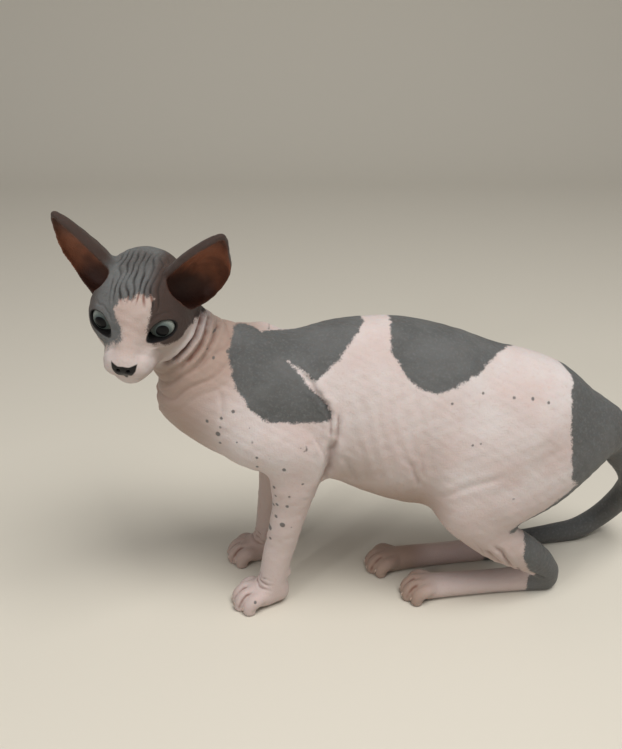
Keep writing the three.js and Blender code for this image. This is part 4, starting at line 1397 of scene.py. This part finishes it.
@dataclass
class Markings:
    """Where each colour of the skin lies, as depths in millimetres inside its edge."""

    head: Head
    lid_rim: float = 0.9
    scatter: int = 70
    scatter_side: float = 42.0

    def girth(self, p: Array) -> Array:
        """X and the way round from the spine, positive down the left side.

        Args:
            p: points in the model's frame, one to a row.

        Returns:
            X and the way round, one row for each point.
        """
        rows = np.array(Torso().sections)
        middle = np.interp(p[:, 0], rows[:, 0], (rows[:, 1] + rows[:, 2]) / 2)
        return np.stack([p[:, 0], GIRTH * np.arctan2(-p[:, 1], p[:, 2] - middle)], -1)

    def past_neck(self, p: Array) -> Array:
        """How far points are down the neck from its top."""
        return (p - np.array(NECK_AT)) @ np.array(NECK_WAY)

    def body(self, p: Array, tail: Form) -> Array:
        """Depth inside the slate patches of trunk, legs and tail.

        Args:
            p: points in the model's frame, one to a row.
            tail: the tail's form, which is dark all over.

        Returns:
            depths in mm.
        """
        chart = self.girth(p)
        shoulder = outline_depth(chart, SHOULDER_PATCH)
        gap, along = line_distance(chart, np.array(WHITE_STREAK, float))
        shoulder = np.minimum(shoulder, gap - 2.4 * np.sin(np.pi * np.clip(along, 0.05, 0.9)))
        depth = np.maximum(shoulder, outline_depth(chart, BACK_PATCH))
        rump = np.minimum(outline_depth(chart, RUMP_PATCH), p[:, 2] - 84)
        far = np.minimum(outline_depth(chart, FAR_PATCH), p[:, 2] - 90)
        depth = np.maximum(depth, np.maximum(rump, far))
        flat = p[:, [0, 2]]
        hock = np.minimum(outline_depth(flat, HOCK_PATCH), -p[:, 1] - 6)
        far_hock = np.minimum(outline_depth(flat - (FAR_HIND_SHIFT, 0), HOCK_PATCH), p[:, 1] - 10)
        far_ham = np.minimum(p[:, 0] - 152 - 0.35 * (p[:, 2] - 60), 124 - p[:, 2])
        far_ham = np.minimum(np.minimum(far_ham, p[:, 1] - 14), p[:, 2] - 52)
        under = (p[:, 0] - 178) * 0.6 - (p[:, 2] - 118) * 0.8 - 17.5
        under = np.minimum(np.minimum(under, p[:, 0] - 156), -p[:, 1] - 4)
        under = np.minimum(under, np.minimum(140 - p[:, 2], p[:, 2] - 76))
        far_ham = np.maximum(far_ham, under)
        depth = np.maximum(depth, np.maximum(hock, np.maximum(far_hock, far_ham)))
        return np.maximum(depth, np.minimum(3.0 - 2.0 * tail.distance(p), 3.0))

    def face(self, p: Array) -> Array:
        """Depth inside the dark mask of head and ears.

        Args:
            p: points in the model's frame, one to a row.

        Returns:
            depths in mm.
        """
        x, y, z = self.head.frame.local(p).T
        chart = np.stack([FACE_TURN * np.arctan2(y, x + 10), z], -1)
        return np.minimum(-outline_depth(chart, PALE_FACE), -10.0 - self.past_neck(p))

    def freckles(self, p: Array) -> Array:
        """Depth inside a freckle: those of the near side and a scatter on both.

        Args:
            p: points in the model's frame, one to a row.

        Returns:
            depths in mm.
        """
        draw = np.random.default_rng(7)
        spots = list(FRECKLES)
        for _ in range(self.scatter):
            x, z = draw.uniform(-85, 0), draw.uniform(60, 235)
            spots.append((x, draw.choice([-1, 1]) * self.scatter_side, z, draw.uniform(0.5, 1.2)))
        for x, y, z, r in FRECKLES:
            spots.append((x + 9, -y + 3, z - 6, r))
        best = np.full(len(p), OUTSIDE)
        for x, y, z, r in spots:
            close = (np.abs(p[:, 0] - x) < 5) & (np.abs(p[:, 2] - z) < 5)
            near = np.flatnonzero(close & (p[:, 1] * y > 0))
            flat = np.hypot(p[near, 0] - x, p[near, 2] - z)
            best[near] = np.maximum(best[near], r - flat)
        return best

    def leather(self, p: Array) -> Array:
        """Depth inside the nose leather."""
        x, y, z = self.head.frame.local(p).T
        return np.minimum(outline_depth(np.stack([y, z], -1), NOSE_LEATHER), x - 49)

    def lids(self, p: Array) -> Array:
        """Depth inside the dark rims of the eyes.

        Args:
            p: points in the model's frame, one to a row.

        Returns:
            depths in mm.
        """
        depth = np.full(len(p), OUTSIDE)
        for slit in self.head.slits():
            near = np.flatnonzero(np.linalg.norm(p - slit.at, axis=1) < 22)
            across, along = slit.outline(p[near])
            rim = np.where(along > -2, self.lid_rim - across, OUTSIDE)
            depth[near] = np.maximum(depth[near], rim)
        return depth

    def cups(self, p: Array) -> Array:
        """1 inside the ears, 0 elsewhere.

        Args:
            p: points in the model's frame, one to a row.

        Returns:
            shares from 0 to 1.
        """
        share = np.zeros(len(p))
        for m in (1, -1):
            cup = Ear(m).forms(self.head.frame)[1]
            near = np.flatnonzero(np.linalg.norm(p - cup.at, axis=1) < cup.reach + 4)
            share[near] = np.maximum(share[near], 1 - step_up(cup.distance(p[near]), 0.2, 1.6))
        return share

    def cup_dark(self, p: Array) -> Array:
        """How dark the inside of each ear is: darker on its medial side and at its tip, and painted
        shade deep in the cup at its base.

        Args:
            p: points in the model's frame, one to a row.

        Returns:
            shares from 0 to 1.
        """
        local = self.head.frame.local(p)
        share = np.zeros(len(p))
        for m in (1, -1):
            ear = Ear(m)
            base, up, _, across = ear.axes()
            h, s = (local - base) @ up, (local - base) @ across
            near = local[:, 1] * m > 8
            side = 1 - step_up(s + 0.25 * h, -12, 2)
            dark = np.maximum(side, np.maximum(step_up(h, 32, 50) * 0.7, 1 - step_up(h, -8, 6)))
            share = np.maximum(share, np.where(near, dark * 0.85, 0.0))
        return share

    def blush(self, p: Array) -> Array:
        """How warm and shaded the bare skin is: warm skin on the feet and by the near eye's inner
        corner, with painted shade on the far side's feet, the throat, the chest and the belly.

        Args:
            p: points in the model's frame, one to a row.

        Returns:
            shares from 0 to 1.
        """
        x, y, z = p.T
        feet = (1 - step_up(z, 14, 60)) * (0.75 + 0.25 * step_up(y, 0, 12)) * 0.75
        throat = between(self.past_neck(p), (-14, 2), (20, 60)) * 0.6
        corner, reach = (34, 8, 3), (9, 6, 8)
        brow = np.exp(-(((self.head.frame.local(p) - corner) / reach) ** 2).sum(1)) * 0.8
        chest = (1 - step_up(x, -95, -40)) * (1 - step_up(z, 190, 225)) * 0.45
        belly = (1 - step_up(z, 96, 150)) * 0.45
        return np.clip(np.maximum.reduce([feet, throat, brow, chest, belly]), 0, 1)

    def tan(self, p: Array) -> Array:
        """How much brown the bare skin takes: painted shade on the throat under the head, the chest
        front, the belly, the shank, the far foreleg and the ribs behind the elbow, and a brown tone
        over the head, less on the muzzle.

        Args:
            p: points in the model's frame, one to a row.

        Returns:
            shares from 0 to 1.
        """
        x, y, z = p.T
        neck = self.past_neck(p)
        throat = between(neck, (-16, 0), (14, 44)) * 0.8
        chest = (1 - step_up(x, -100, -52)) * (1 - step_up(z, 180, 215)) * 0.8
        belly = (1 - step_up(z, 98, 146)) * between(x, (4, 24), (84, 112)) * 0.9
        shank = between(z, (24, 36), (62, 92)) * step_up(x, 70, 100) * 0.35
        far_leg = step_up(y, 4, 14) * (1 - step_up(x, -4, 10)) * (1 - step_up(z, 110, 140)) * 0.5
        behind_elbow, reach = (34, -50, 132), (22, 30, 22)
        ribs = np.exp(-(((p - behind_elbow) / reach) ** 2).sum(1)) * 0.6
        hx, hy, hz = self.head.frame.local(p).T
        muzzle = step_up(hx, 36, 46) * step_up(-hz, 4, 12)
        face = (1 - step_up(neck, -22, -8)) * (0.5 - 0.4 * muzzle)
        return np.clip(np.maximum.reduce([throat, chest, belly, shank, far_leg, ribs, face]), 0, 1)

    def mask(self, p: Array) -> Array:
        """How brown the dark skin is: the sides of the face and the ears, not the crown.

        Args:
            p: points in the model's frame, one to a row.

        Returns:
            shares from 0 to 1.
        """
        x, y, z = self.head.frame.local(p).T
        sides = np.maximum(step_up(y, 5, 16), step_up(-y, 22, 34))
        sides = sides * (1 - step_up(self.past_neck(p), -16, 4))
        return np.maximum(sides, step_up(z, 30, 40) * (1 - step_up(self.past_neck(p), -30, -10)))

    def paint(self, piece: bpy.types.Object, p: Array, fold: Array, tail: Form) -> None:
        """Keeps every depth on the piece for its finish.

        Args:
            piece: the skin.
            p: its vertices in the model's frame.
            fold: the painted shade of its folds, from 0 to 1.
            tail: the tail's form, which is dark all over.
        """
        keep_values(piece, "slate", np.maximum(self.body(p, tail), self.face(p)))
        keep_values(piece, "freckle", self.freckles(p))
        keep_values(piece, "leather", self.leather(p))
        keep_values(piece, "lid", self.lids(p))
        keep_values(piece, "cup", self.cups(p))
        keep_values(piece, "blush", self.blush(p))
        keep_values(piece, "fold", fold)
        keep_values(piece, "mask", self.mask(p))
        keep_values(piece, "tan", self.tan(p))
        keep_values(piece, "cup_dark", self.cup_dark(p))


# Skin


@dataclass
class Hide:
    """The one skin over head, body, legs and tail."""

    head: Head
    torso: Torso = field(default_factory=Torso)
    tail: Tail = field(default_factory=Tail)
    lattice: Lattice = field(default_factory=lambda: Lattice((
        ((-192, -60, 0.9), (-60, -12, 1.2), (-12, 62, 1.8), (62, 112, 1.2), (112, 302, 1.5)),
        ((-90, 47, 1.05), (47, 82, 1.3)),
        ((-3, 33, 1.0), (33, 206, 1.6), (206, 345, 0.9)),
    )))

    def forms(self) -> list[Form]:
        """Every form, in the order in which they blend.

        Returns:
            the forms.
        """
        made = [*self.torso.forms()]
        for leg in (*FORELEGS, *HIND_LEGS):
            made += leg.forms()
        return [*made, *self.tail.forms(), *self.head.forms()]

    def shell(self) -> Shell:
        """The bare surface, settled on the field and flat on the floor.

        Returns:
            the surface in mm.
        """
        forms = self.forms()
        axes, values = self.lattice.sample(forms)
        values = np.maximum(values, -axes[2][None, None, :])
        for axis in range(3):
            for end in (0, -1):
                rim = [slice(None)] * 3
                rim[axis] = end
                values[tuple(rim)] = 5.0
        shell = Shell(*surface_nets(axes, values))
        shell.relax(0.5, 1)
        shell.settle(forms, 0.8)
        shell.vertices[:, 2] = np.maximum(shell.vertices[:, 2], 0.0)
        return shell

    def build(self, shift: Array) -> bpy.types.Object:
        """The skin as one piece, carved, marked and finished.

        Args:
            shift: what moves the model's frame to the row's, in mm.

        Returns:
            the skin, marked and finished.
        """
        shell = self.shell()
        fold = Relief(self.head).carve(shell)
        piece = mesh_object("skin", shell.vertices, shell.quads, shift)
        Markings(self.head).paint(piece, shell.vertices, fold, self.tail.forms()[0])
        piece.data.materials.append(SkinFinish().material())
        LOG.info("skin: %d vertices, %d quads", len(shell.vertices), len(shell.quads))
        return piece


@dataclass
class Claws:
    """The tips of the claws, which lie sheathed between the toes."""

    radius: float = 1.15
    sides: int = 10
    rings: int = 6

    def build(self, shift: Array) -> bpy.types.Object:
        """All claws as one piece of curved cones.

        Args:
            shift: what moves the model's frame to the row's, in mm.

        Returns:
            the claws.
        """
        vertices, faces = [], []
        turn = np.linspace(0, 2 * np.pi, self.sides, endpoint=False)
        for leg in (*FORELEGS, *HIND_LEGS):
            for root, tip in leg.foot().claws():
                start = len(vertices)
                along = unit(tip - root)
                across = unit(np.cross(along, (0, 0, 1)))
                up = np.cross(across, along)
                for i in range(self.rings + 1):
                    t = i / self.rings
                    at = root + (tip - root) * t + up * 0.9 * math.sin(math.pi * t)
                    r = self.radius * (1 - t) ** 0.8 + 0.08
                    ring = np.cos(turn)[:, None] * across * 0.7 + np.sin(turn)[:, None] * up
                    vertices.extend(at + r * ring)
                for i in range(self.rings):
                    a, b = start + i * self.sides, start + (i + 1) * self.sides
                    for j in range(self.sides):
                        k = (j + 1) % self.sides
                        faces.append((a + j, a + k, b + k, b + j))
                faces.append(tuple(start + j for j in reversed(range(self.sides))))
                faces.append(tuple(b + j for j in range(self.sides)))
        piece = mesh_object("claws", np.array(vertices), faces, shift)
        piece.data.materials.append(ClawFinish().material())
        return piece


# Finishes


Socket = bpy.types.NodeSocket
Feed = Socket | float | tuple


class Graph:
    """A material's nodes, added by kind and wired by socket."""

    def __init__(self, name: str) -> None:
        """A material with a bare shader.

        Args:
            name: its name.
        """
        self.material = bpy.data.materials.new(name)
        self.material.use_nodes = True
        self.tree = self.material.node_tree
        self.shader = self.tree.nodes["Principled BSDF"]

    def wire(self, value: Feed, socket: Socket) -> None:
        """Sets a socket from a number, a colour or another node's output."""
        if isinstance(value, bpy.types.NodeSocket):
            self.tree.links.new(value, socket)
        elif isinstance(value, tuple) and len(value) == 3 and socket.type == "RGBA":
            socket.default_value = (*value, 1.0)
        else:
            socket.default_value = value

    def node(self, kind: str, output: str | int = 0, **given: object) -> bpy.types.NodeSocket:
        """Adds a node.

        Args:
            kind: the node's type, without the words that all shader nodes share.
            output: the output to give back.
            given: its inputs by name with _ for a space, or i0, i1 for those by number; names
                with a trailing _ are properties.

        Returns:
            The output socket.
        """
        made = self.tree.nodes.new("ShaderNode" + kind)
        sockets = {}
        for name, value in given.items():
            if name.endswith("_"):
                setattr(made, name[:-1], value)
            else:
                sockets[name] = value
        for name, value in sockets.items():
            numbered = name[0] == "i" and name[1:].isdigit()
            self.wire(value, made.inputs[int(name[1:]) if numbered else name.replace("_", " ")])
        return made.outputs[output]

    def value(self, name: str) -> bpy.types.NodeSocket:
        """A number kept on the mesh."""
        return self.node("Attribute", "Fac", attribute_name_=name)

    def maths(self, operation: str, a: Feed, b: Feed = 0.0) -> bpy.types.NodeSocket:
        """A sum of two numbers or sockets."""
        return self.node("Math", operation_=operation, i0=a, i1=b)

    def rise(self, value: Feed, low: float, high: float, top: float = 1.0) -> bpy.types.NodeSocket:
        """A smooth rise from 0 to top as value goes from low to high."""
        return self.node(
            "MapRange", interpolation_type_="SMOOTHSTEP", Value=value, From_Min=low,
            From_Max=high, To_Min=0.0, To_Max=top,
        )

    def blend(self, share: Feed, a: Feed, b: Feed) -> bpy.types.NodeSocket:
        """A colour between a and b.

        Args:
            share: how much of the second.
            a: the first colour.
            b: the second colour.

        Returns:
            the mixed colour.
        """
        made = self.tree.nodes.new("ShaderNodeMix")
        made.data_type = "RGBA"
        self.wire(share, made.inputs[0])
        self.wire(a, made.inputs[6])
        self.wire(b, made.inputs[7])
        return made.outputs[2]

    def noise(self, scale: float, detail: float = 3.0, rough: float = 0.55) -> bpy.types.NodeSocket:
        """Uneven values about 0.5, fixed to the piece."""
        place = self.node("TexCoord", "Object")
        return self.node("TexNoise", "Fac", Vector=place, Scale=scale, Detail=detail, Roughness=rough)

    def settle(self, **given: Feed) -> bpy.types.Material:
        """Sets the shader's own sockets and gives the material back."""
        for name, value in given.items():
            self.wire(value, self.shader.inputs[name.replace("_", " ")])
        return self.material


@dataclass(frozen=True)
class SkinFinish:
    """Bare skin with a fine down: pink, slate patches, freckles and dark leather, with painted shade in
    the folds, inside the ears and under the body.
    """

    pale: tuple = (0.56, 0.505, 0.485)
    # The rosy tone is warm skin and also painted shade on the throat, chest and belly.
    rosy: tuple = (0.47, 0.345, 0.31)
    # The brown below is painted shade under the body and a brown tone over the head.
    shade_brown: tuple = (0.27, 0.18, 0.13)
    # Dark red painted shade on the floors of folds in pale skin.
    crease_shade_red: tuple = (0.15, 0.060, 0.040)
    slate: tuple = (0.088, 0.088, 0.085)
    slate_pale: tuple = (0.16, 0.16, 0.158)
    mask: tuple = (0.048, 0.029, 0.023)
    # Near black painted shade on the floors of folds in slate skin.
    groove: tuple = (0.018, 0.015, 0.014)
    cup: tuple = (0.24, 0.085, 0.042)
    # Near black painted shade deep inside the ears.
    cup_shade: tuple = (0.035, 0.012, 0.008)
    black: tuple = (0.006, 0.005, 0.005)
    feather: float = 2.6

    def edge(self, g: Graph, name: str, feather: float) -> bpy.types.NodeSocket:
        """The share of a marking, with an edge broken up like short hair.

        Args:
            g: the material being wired.
            name: the depth that is read.
            feather: how far the edge is broken up, in mm.

        Returns:
            the share from 0 to 1.
        """
        depth = g.value(name)
        broad = g.maths("MULTIPLY", g.maths("SUBTRACT", g.noise(160.0, 2.0), 0.5), feather * 2.2)
        fine = g.maths("MULTIPLY", g.maths("SUBTRACT", g.noise(900.0, 2.0), 0.5), feather * 1.6)
        depth = g.maths("ADD", depth, g.maths("ADD", broad, fine))
        return g.rise(depth, -0.45 * feather, 0.45 * feather)

    def material(self) -> bpy.types.Material:
        """The skin's finish.

        Returns:
            the material.
        """
        g = Graph("bare_skin")
        blotch = g.rise(g.noise(22.0, 4.0), 0.3, 0.7, 0.55)
        # Rosy in random blotches and where the skin is warm, and painted shade on the throat, chest,
        # belly and far feet.
        warm = g.maths("MAXIMUM", g.value("blush"), blotch)
        skin = g.blend(warm, self.pale, self.rosy)
        skin = g.blend(g.rise(g.noise(420.0, 2.0), 0.52, 0.8, 0.35), skin, self.rosy)
        # Painted shade in brown on the throat, chest front, belly, shank, far foreleg and ribs behind
        # the elbow, and a brown tone over the head.
        skin = g.blend(g.maths("MULTIPLY", g.value("tan"), 0.85), skin, self.shade_brown)
        skin = g.blend(g.rise(g.value("freckle"), -0.5, 0.4, 0.85), skin, self.slate)
        dark = g.blend(g.rise(g.noise(500.0, 3.0), 0.45, 0.8, 0.5), self.slate, self.slate_pale)
        dark = g.blend(g.rise(g.noise(26.0, 3.0), 0.4, 0.7, 0.4), dark, self.slate_pale)
        dark = g.blend(g.maths("MULTIPLY", g.value("mask"), 0.92), dark, self.mask)
        slate = self.edge(g, "slate", self.feather)
        skin = g.blend(slate, skin, dark)
        # Painted shade in the folds: dark red on pale skin, near black on slate.
        floor = g.blend(slate, self.crease_shade_red, self.groove)
        skin = g.blend(g.rise(g.value("fold"), 0.1, 1.0, 0.9), skin, floor)
        # Inside the ears: darker in random patches, on the medial side and at the tip, and painted
        # shade deep in the cup at its base.
        deep = g.blend(g.rise(g.noise(38.0, 2.0), 0.42, 0.66, 0.6), self.cup, self.cup_shade)
        deep = g.blend(g.value("cup_dark"), deep, self.cup_shade)
        skin = g.blend(g.maths("MULTIPLY", g.value("cup"), 0.92), skin, deep)
        skin = g.blend(g.rise(g.value("leather"), -0.4, 0.5), skin, self.black)
        skin = g.blend(g.rise(g.value("lid"), -0.3, 0.5), skin, self.black)
        grain = g.node("TexVoronoi", "Distance", Vector=g.node("TexCoord", "Object"), Scale=650.0)
        down = g.noise(1500.0, 2.0)
        height = g.maths("ADD", g.maths("MULTIPLY", grain, 0.6), g.maths("MULTIPLY", down, 0.8))
        height = g.maths("ADD", height, g.maths("MULTIPLY", g.noise(130.0, 4.0), 1.2))
        relief = g.node("Bump", Strength=0.35, Distance=0.0006, Height=height)
        wet = g.rise(g.value("leather"), -0.4, 0.5, 0.12)
        rough = g.maths("SUBTRACT", g.maths("ADD", 0.5, g.maths("MULTIPLY", down, 0.16)), wet)
        return g.settle(
            Base_Color=skin, Roughness=rough, Normal=relief, Sheen_Weight=0.05,
            Sheen_Roughness=0.45, Subsurface_Weight=0.14, Subsurface_Radius=(1.0, 0.35, 0.2),
            Subsurface_Scale=0.003, Specular_IOR_Level=0.28,
        )


@dataclass(frozen=True)
class EyeFinish:
    """A wet eye: dark white, blue-grey iris with paler rings, wide dark pupil."""

    pupil: float = 0.42
    iris: float = 0.84
    pale: tuple = (0.34, 0.37, 0.33)
    blue: tuple = (0.085, 0.105, 0.10)
    rim: tuple = (0.035, 0.04, 0.045)
    white: tuple = (0.20, 0.16, 0.14)
    black: tuple = (0.003, 0.003, 0.004)

    def material(self) -> bpy.types.Material:
        """The eye's finish.

        Returns:
            the material.
        """
        g = Graph("wet_eye")
        place = g.node("Attribute", "Vector", attribute_name_="eye_place")
        x, y = (g.node("SeparateXYZ", i, Vector=place) for i in (0, 1))
        depth = g.node("SeparateXYZ", 2, Vector=place)
        out = g.maths("SQRT", g.maths("ADD", g.maths("MULTIPLY", x, x), g.maths("MULTIPLY", y, y)))
        turn = g.maths("ARCTAN2", y, x)
        spokes = g.node("CombineXYZ", X=g.maths("MULTIPLY", turn, 7.0), Y=g.maths("MULTIPLY", out, 3.0))
        strands = g.node("TexNoise", "Fac", Vector=spokes, Scale=2.2, Detail=4.0)
        ring = g.rise(out, self.pupil + 0.04, self.iris - 0.10)
        colour = g.blend(ring, self.blue, self.pale)
        colour = g.blend(g.rise(strands, 0.35, 0.7, 0.6), colour, self.blue)
        colour = g.blend(g.rise(out, self.iris - 0.10, self.iris - 0.01), colour, self.rim)
        colour = g.blend(g.rise(out, self.iris, self.iris + 0.05), colour, self.white)
        colour = g.blend(g.rise(out, self.pupil + 0.02, self.pupil - 0.02), colour, self.black)
        colour = g.blend(g.rise(depth, 0.1, -0.1), colour, self.white)
        return g.settle(
            Base_Color=colour, Roughness=0.35, Coat_Weight=0.25, Coat_Roughness=0.02,
            Specular_IOR_Level=0.05,
        )


@dataclass(frozen=True)
class ClawFinish:
    """Pale horn, darker in random patches."""

    horn: tuple = (0.62, 0.52, 0.44)
    root: tuple = (0.40, 0.26, 0.20)

    def material(self) -> bpy.types.Material:
        """The claws' finish.

        Returns:
            the material.
        """
        g = Graph("claw_horn")
        colour = g.blend(g.rise(g.noise(500.0, 2.0), 0.35, 0.7), self.horn, self.root)
        return g.settle(Base_Color=colour, Roughness=0.32, Specular_IOR_Level=0.5)


def flesh_nodes(frame: dict) -> list[str]:
    """The solids that the skin stands for: all but the eyes."""
    return sorted(n for n in frame["nodes"] if not n.startswith("eye_"))


# Studio


@dataclass(frozen=True)
class Lamp:
    """A soft square light: where it hangs and faces, in metres, its side and its power."""

    name: str
    at: tuple
    aim: tuple
    size: float
    watts: float
    hue: tuple
    mirrored: bool = False


# Only the small lamp is mirrored in the eyes, as one bright spot in each.
LAMPS = (
    Lamp("key", (0.35, -0.62, 1.8), (0, 0, 0.1), 1.0, 34.0, (1.0, 0.99, 0.97)),
    Lamp("fill", (-1.3, -1.5, 1.0), (0, 0, 0.12), 1.4, 5.0, (1.0, 0.96, 0.92)),
    Lamp("glint", (-0.75, -1.0, 0.75), (-0.14, -0.03, 0.25), 0.07, 1.6, (1, 1, 1), True),
)


@dataclass
class Studio:
    """Pale floor, soft lights and the camera."""

    lens: float = 43.258
    sensor: float = 36.0
    camera_at: tuple = (-11.0, -643.25, 481.65)
    camera_turn: tuple = (24.0, 1.0)
    floor_reach: float = 4.0
    floor_rise: float = 1.6

    def floor(self) -> bpy.types.Object:
        """A floor that curves up into a backdrop far behind the cat.

        Returns:
            the floor.
        """
        far, bend, reach = self.floor_rise, 0.7, self.floor_reach
        angles = np.linspace(0.0, np.pi / 2, 13)
        line = [(-reach, 0.0), *zip(far + bend * np.sin(angles), bend * (1 - np.cos(angles)))]
        line.append((far + bend, reach))
        points = [(x, y, z) for y, z in line for x in (-reach, reach)]
        faces = [(2 * i, 2 * i + 1, 2 * i + 3, 2 * i + 2) for i in range(len(line) - 1)]
        piece = mesh_object("floor", np.array(points) / MM, faces, np.zeros(3))
        return piece

    def light(self, lamp: Lamp) -> None:
        """Hangs one soft square light.

        Args:
            lamp: its place, size and power.
        """
        data = bpy.data.lights.new(lamp.name, "AREA")
        data.size, data.energy, data.color = lamp.size, lamp.watts, lamp.hue
        piece = bpy.data.objects.new(lamp.name, data)
        piece.location = lamp.at
        aim = Vector(lamp.aim) - Vector(lamp.at)
        piece.rotation_euler = aim.to_track_quat("-Z", "Y").to_euler()
        piece.visible_glossy = lamp.mirrored
        bpy.context.scene.collection.objects.link(piece)

    def world(self, hue: tuple, strength: float) -> None:
        """An even sky.

        Args:
            hue: its colour.
            strength: its brightness.
        """
        world = bpy.data.worlds.new("studio")
        world.use_nodes = True
        sky = world.node_tree.nodes["Background"]
        sky.inputs["Color"].default_value = (*hue, 1.0)
        sky.inputs["Strength"].default_value = strength
        bpy.context.scene.world = world

    def camera(self, shift: Array) -> None:
        """The camera at the photograph's place and angle.

        Args:
            shift: what moves the model's frame to the row's, in mm.
        """
        down, aside = (math.radians(a) for a in self.camera_turn)
        ahead = Vector((
            math.sin(aside) * math.cos(down), math.cos(aside) * math.cos(down), -math.sin(down),
        ))
        data = bpy.data.cameras.new("camera")
        data.lens, data.sensor_width = self.lens, self.sensor
        data.clip_start, data.clip_end = 0.02, 50.0
        camera = bpy.data.objects.new("camera", data)
        camera.location = (np.array(self.camera_at) + shift) * MM
        camera.rotation_euler = ahead.to_track_quat("-Z", "Y").to_euler()
        bpy.context.scene.collection.objects.link(camera)
        bpy.context.scene.camera = camera

    def build(self, shift: Array) -> None:
        """Everything round the cat.

        Args:
            shift: what moves the model's frame to the row's, in mm.
        """
        self.camera(shift)
        floor = self.floor()
        floor.data.materials.append(FloorFinish().material())
        for lamp in LAMPS:
            self.light(lamp)
        self.world((0.96, 0.97, 1.0), 0.30)
        bpy.context.scene.view_settings.view_transform = "Standard"


@dataclass(frozen=True)
class FloorFinish:
    """A plain pale floor, matt."""

    colour: tuple = (0.62, 0.58, 0.50)
    roughness: float = 0.9

    def material(self) -> bpy.types.Material:
        """The floor's finish with a faint unevenness.

        Returns:
            the material.
        """
        made = bpy.data.materials.new("pale_floor")
        made.use_nodes = True
        shader = made.node_tree.nodes["Principled BSDF"]
        shader.inputs["Base Color"].default_value = (*self.colour, 1.0)
        shader.inputs["Roughness"].default_value = self.roughness
        return made


def row_shift(head: Head) -> Array:
    """What moves the model's frame to the row's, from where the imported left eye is.

    Args:
        head: the head.

    Returns:
        the shift in mm.
    """
    low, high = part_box("eye_left")
    middle = (np.array(low) + np.array(high)) / 2 / MM
    shift = middle - head.frame.point(*head.eyes()[0].centre)
    return np.array([shift[0], shift[1], 0.0])


def main() -> None:
    """Builds each piece in order and reports."""
    logging.basicConfig(level=logging.INFO, format="%(name)s: %(message)s")
    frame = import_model()
    head = Head()
    shift = row_shift(head)
    LOG.info("frame: shift %s mm", np.round(shift, 3).tolist())
    Studio().build(shift)
    hide = Hide(head)
    skin = hide.build(shift)
    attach(skin, "root")
    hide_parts(*flesh_nodes(frame))
    claws = Claws().build(shift)
    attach(claws, "root")
    LOG.info("claws: %d vertices", len(claws.data.vertices))
    for eye in head.eyes():
        ball = eye.build(head.frame, shift)
        ball.data.materials.append(EyeFinish().material())
        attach(ball, "root")
        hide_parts(f"eye_{eye.word}")
        LOG.info("eye: %s", ball.name)


if __name__ == "__main__":
    main()
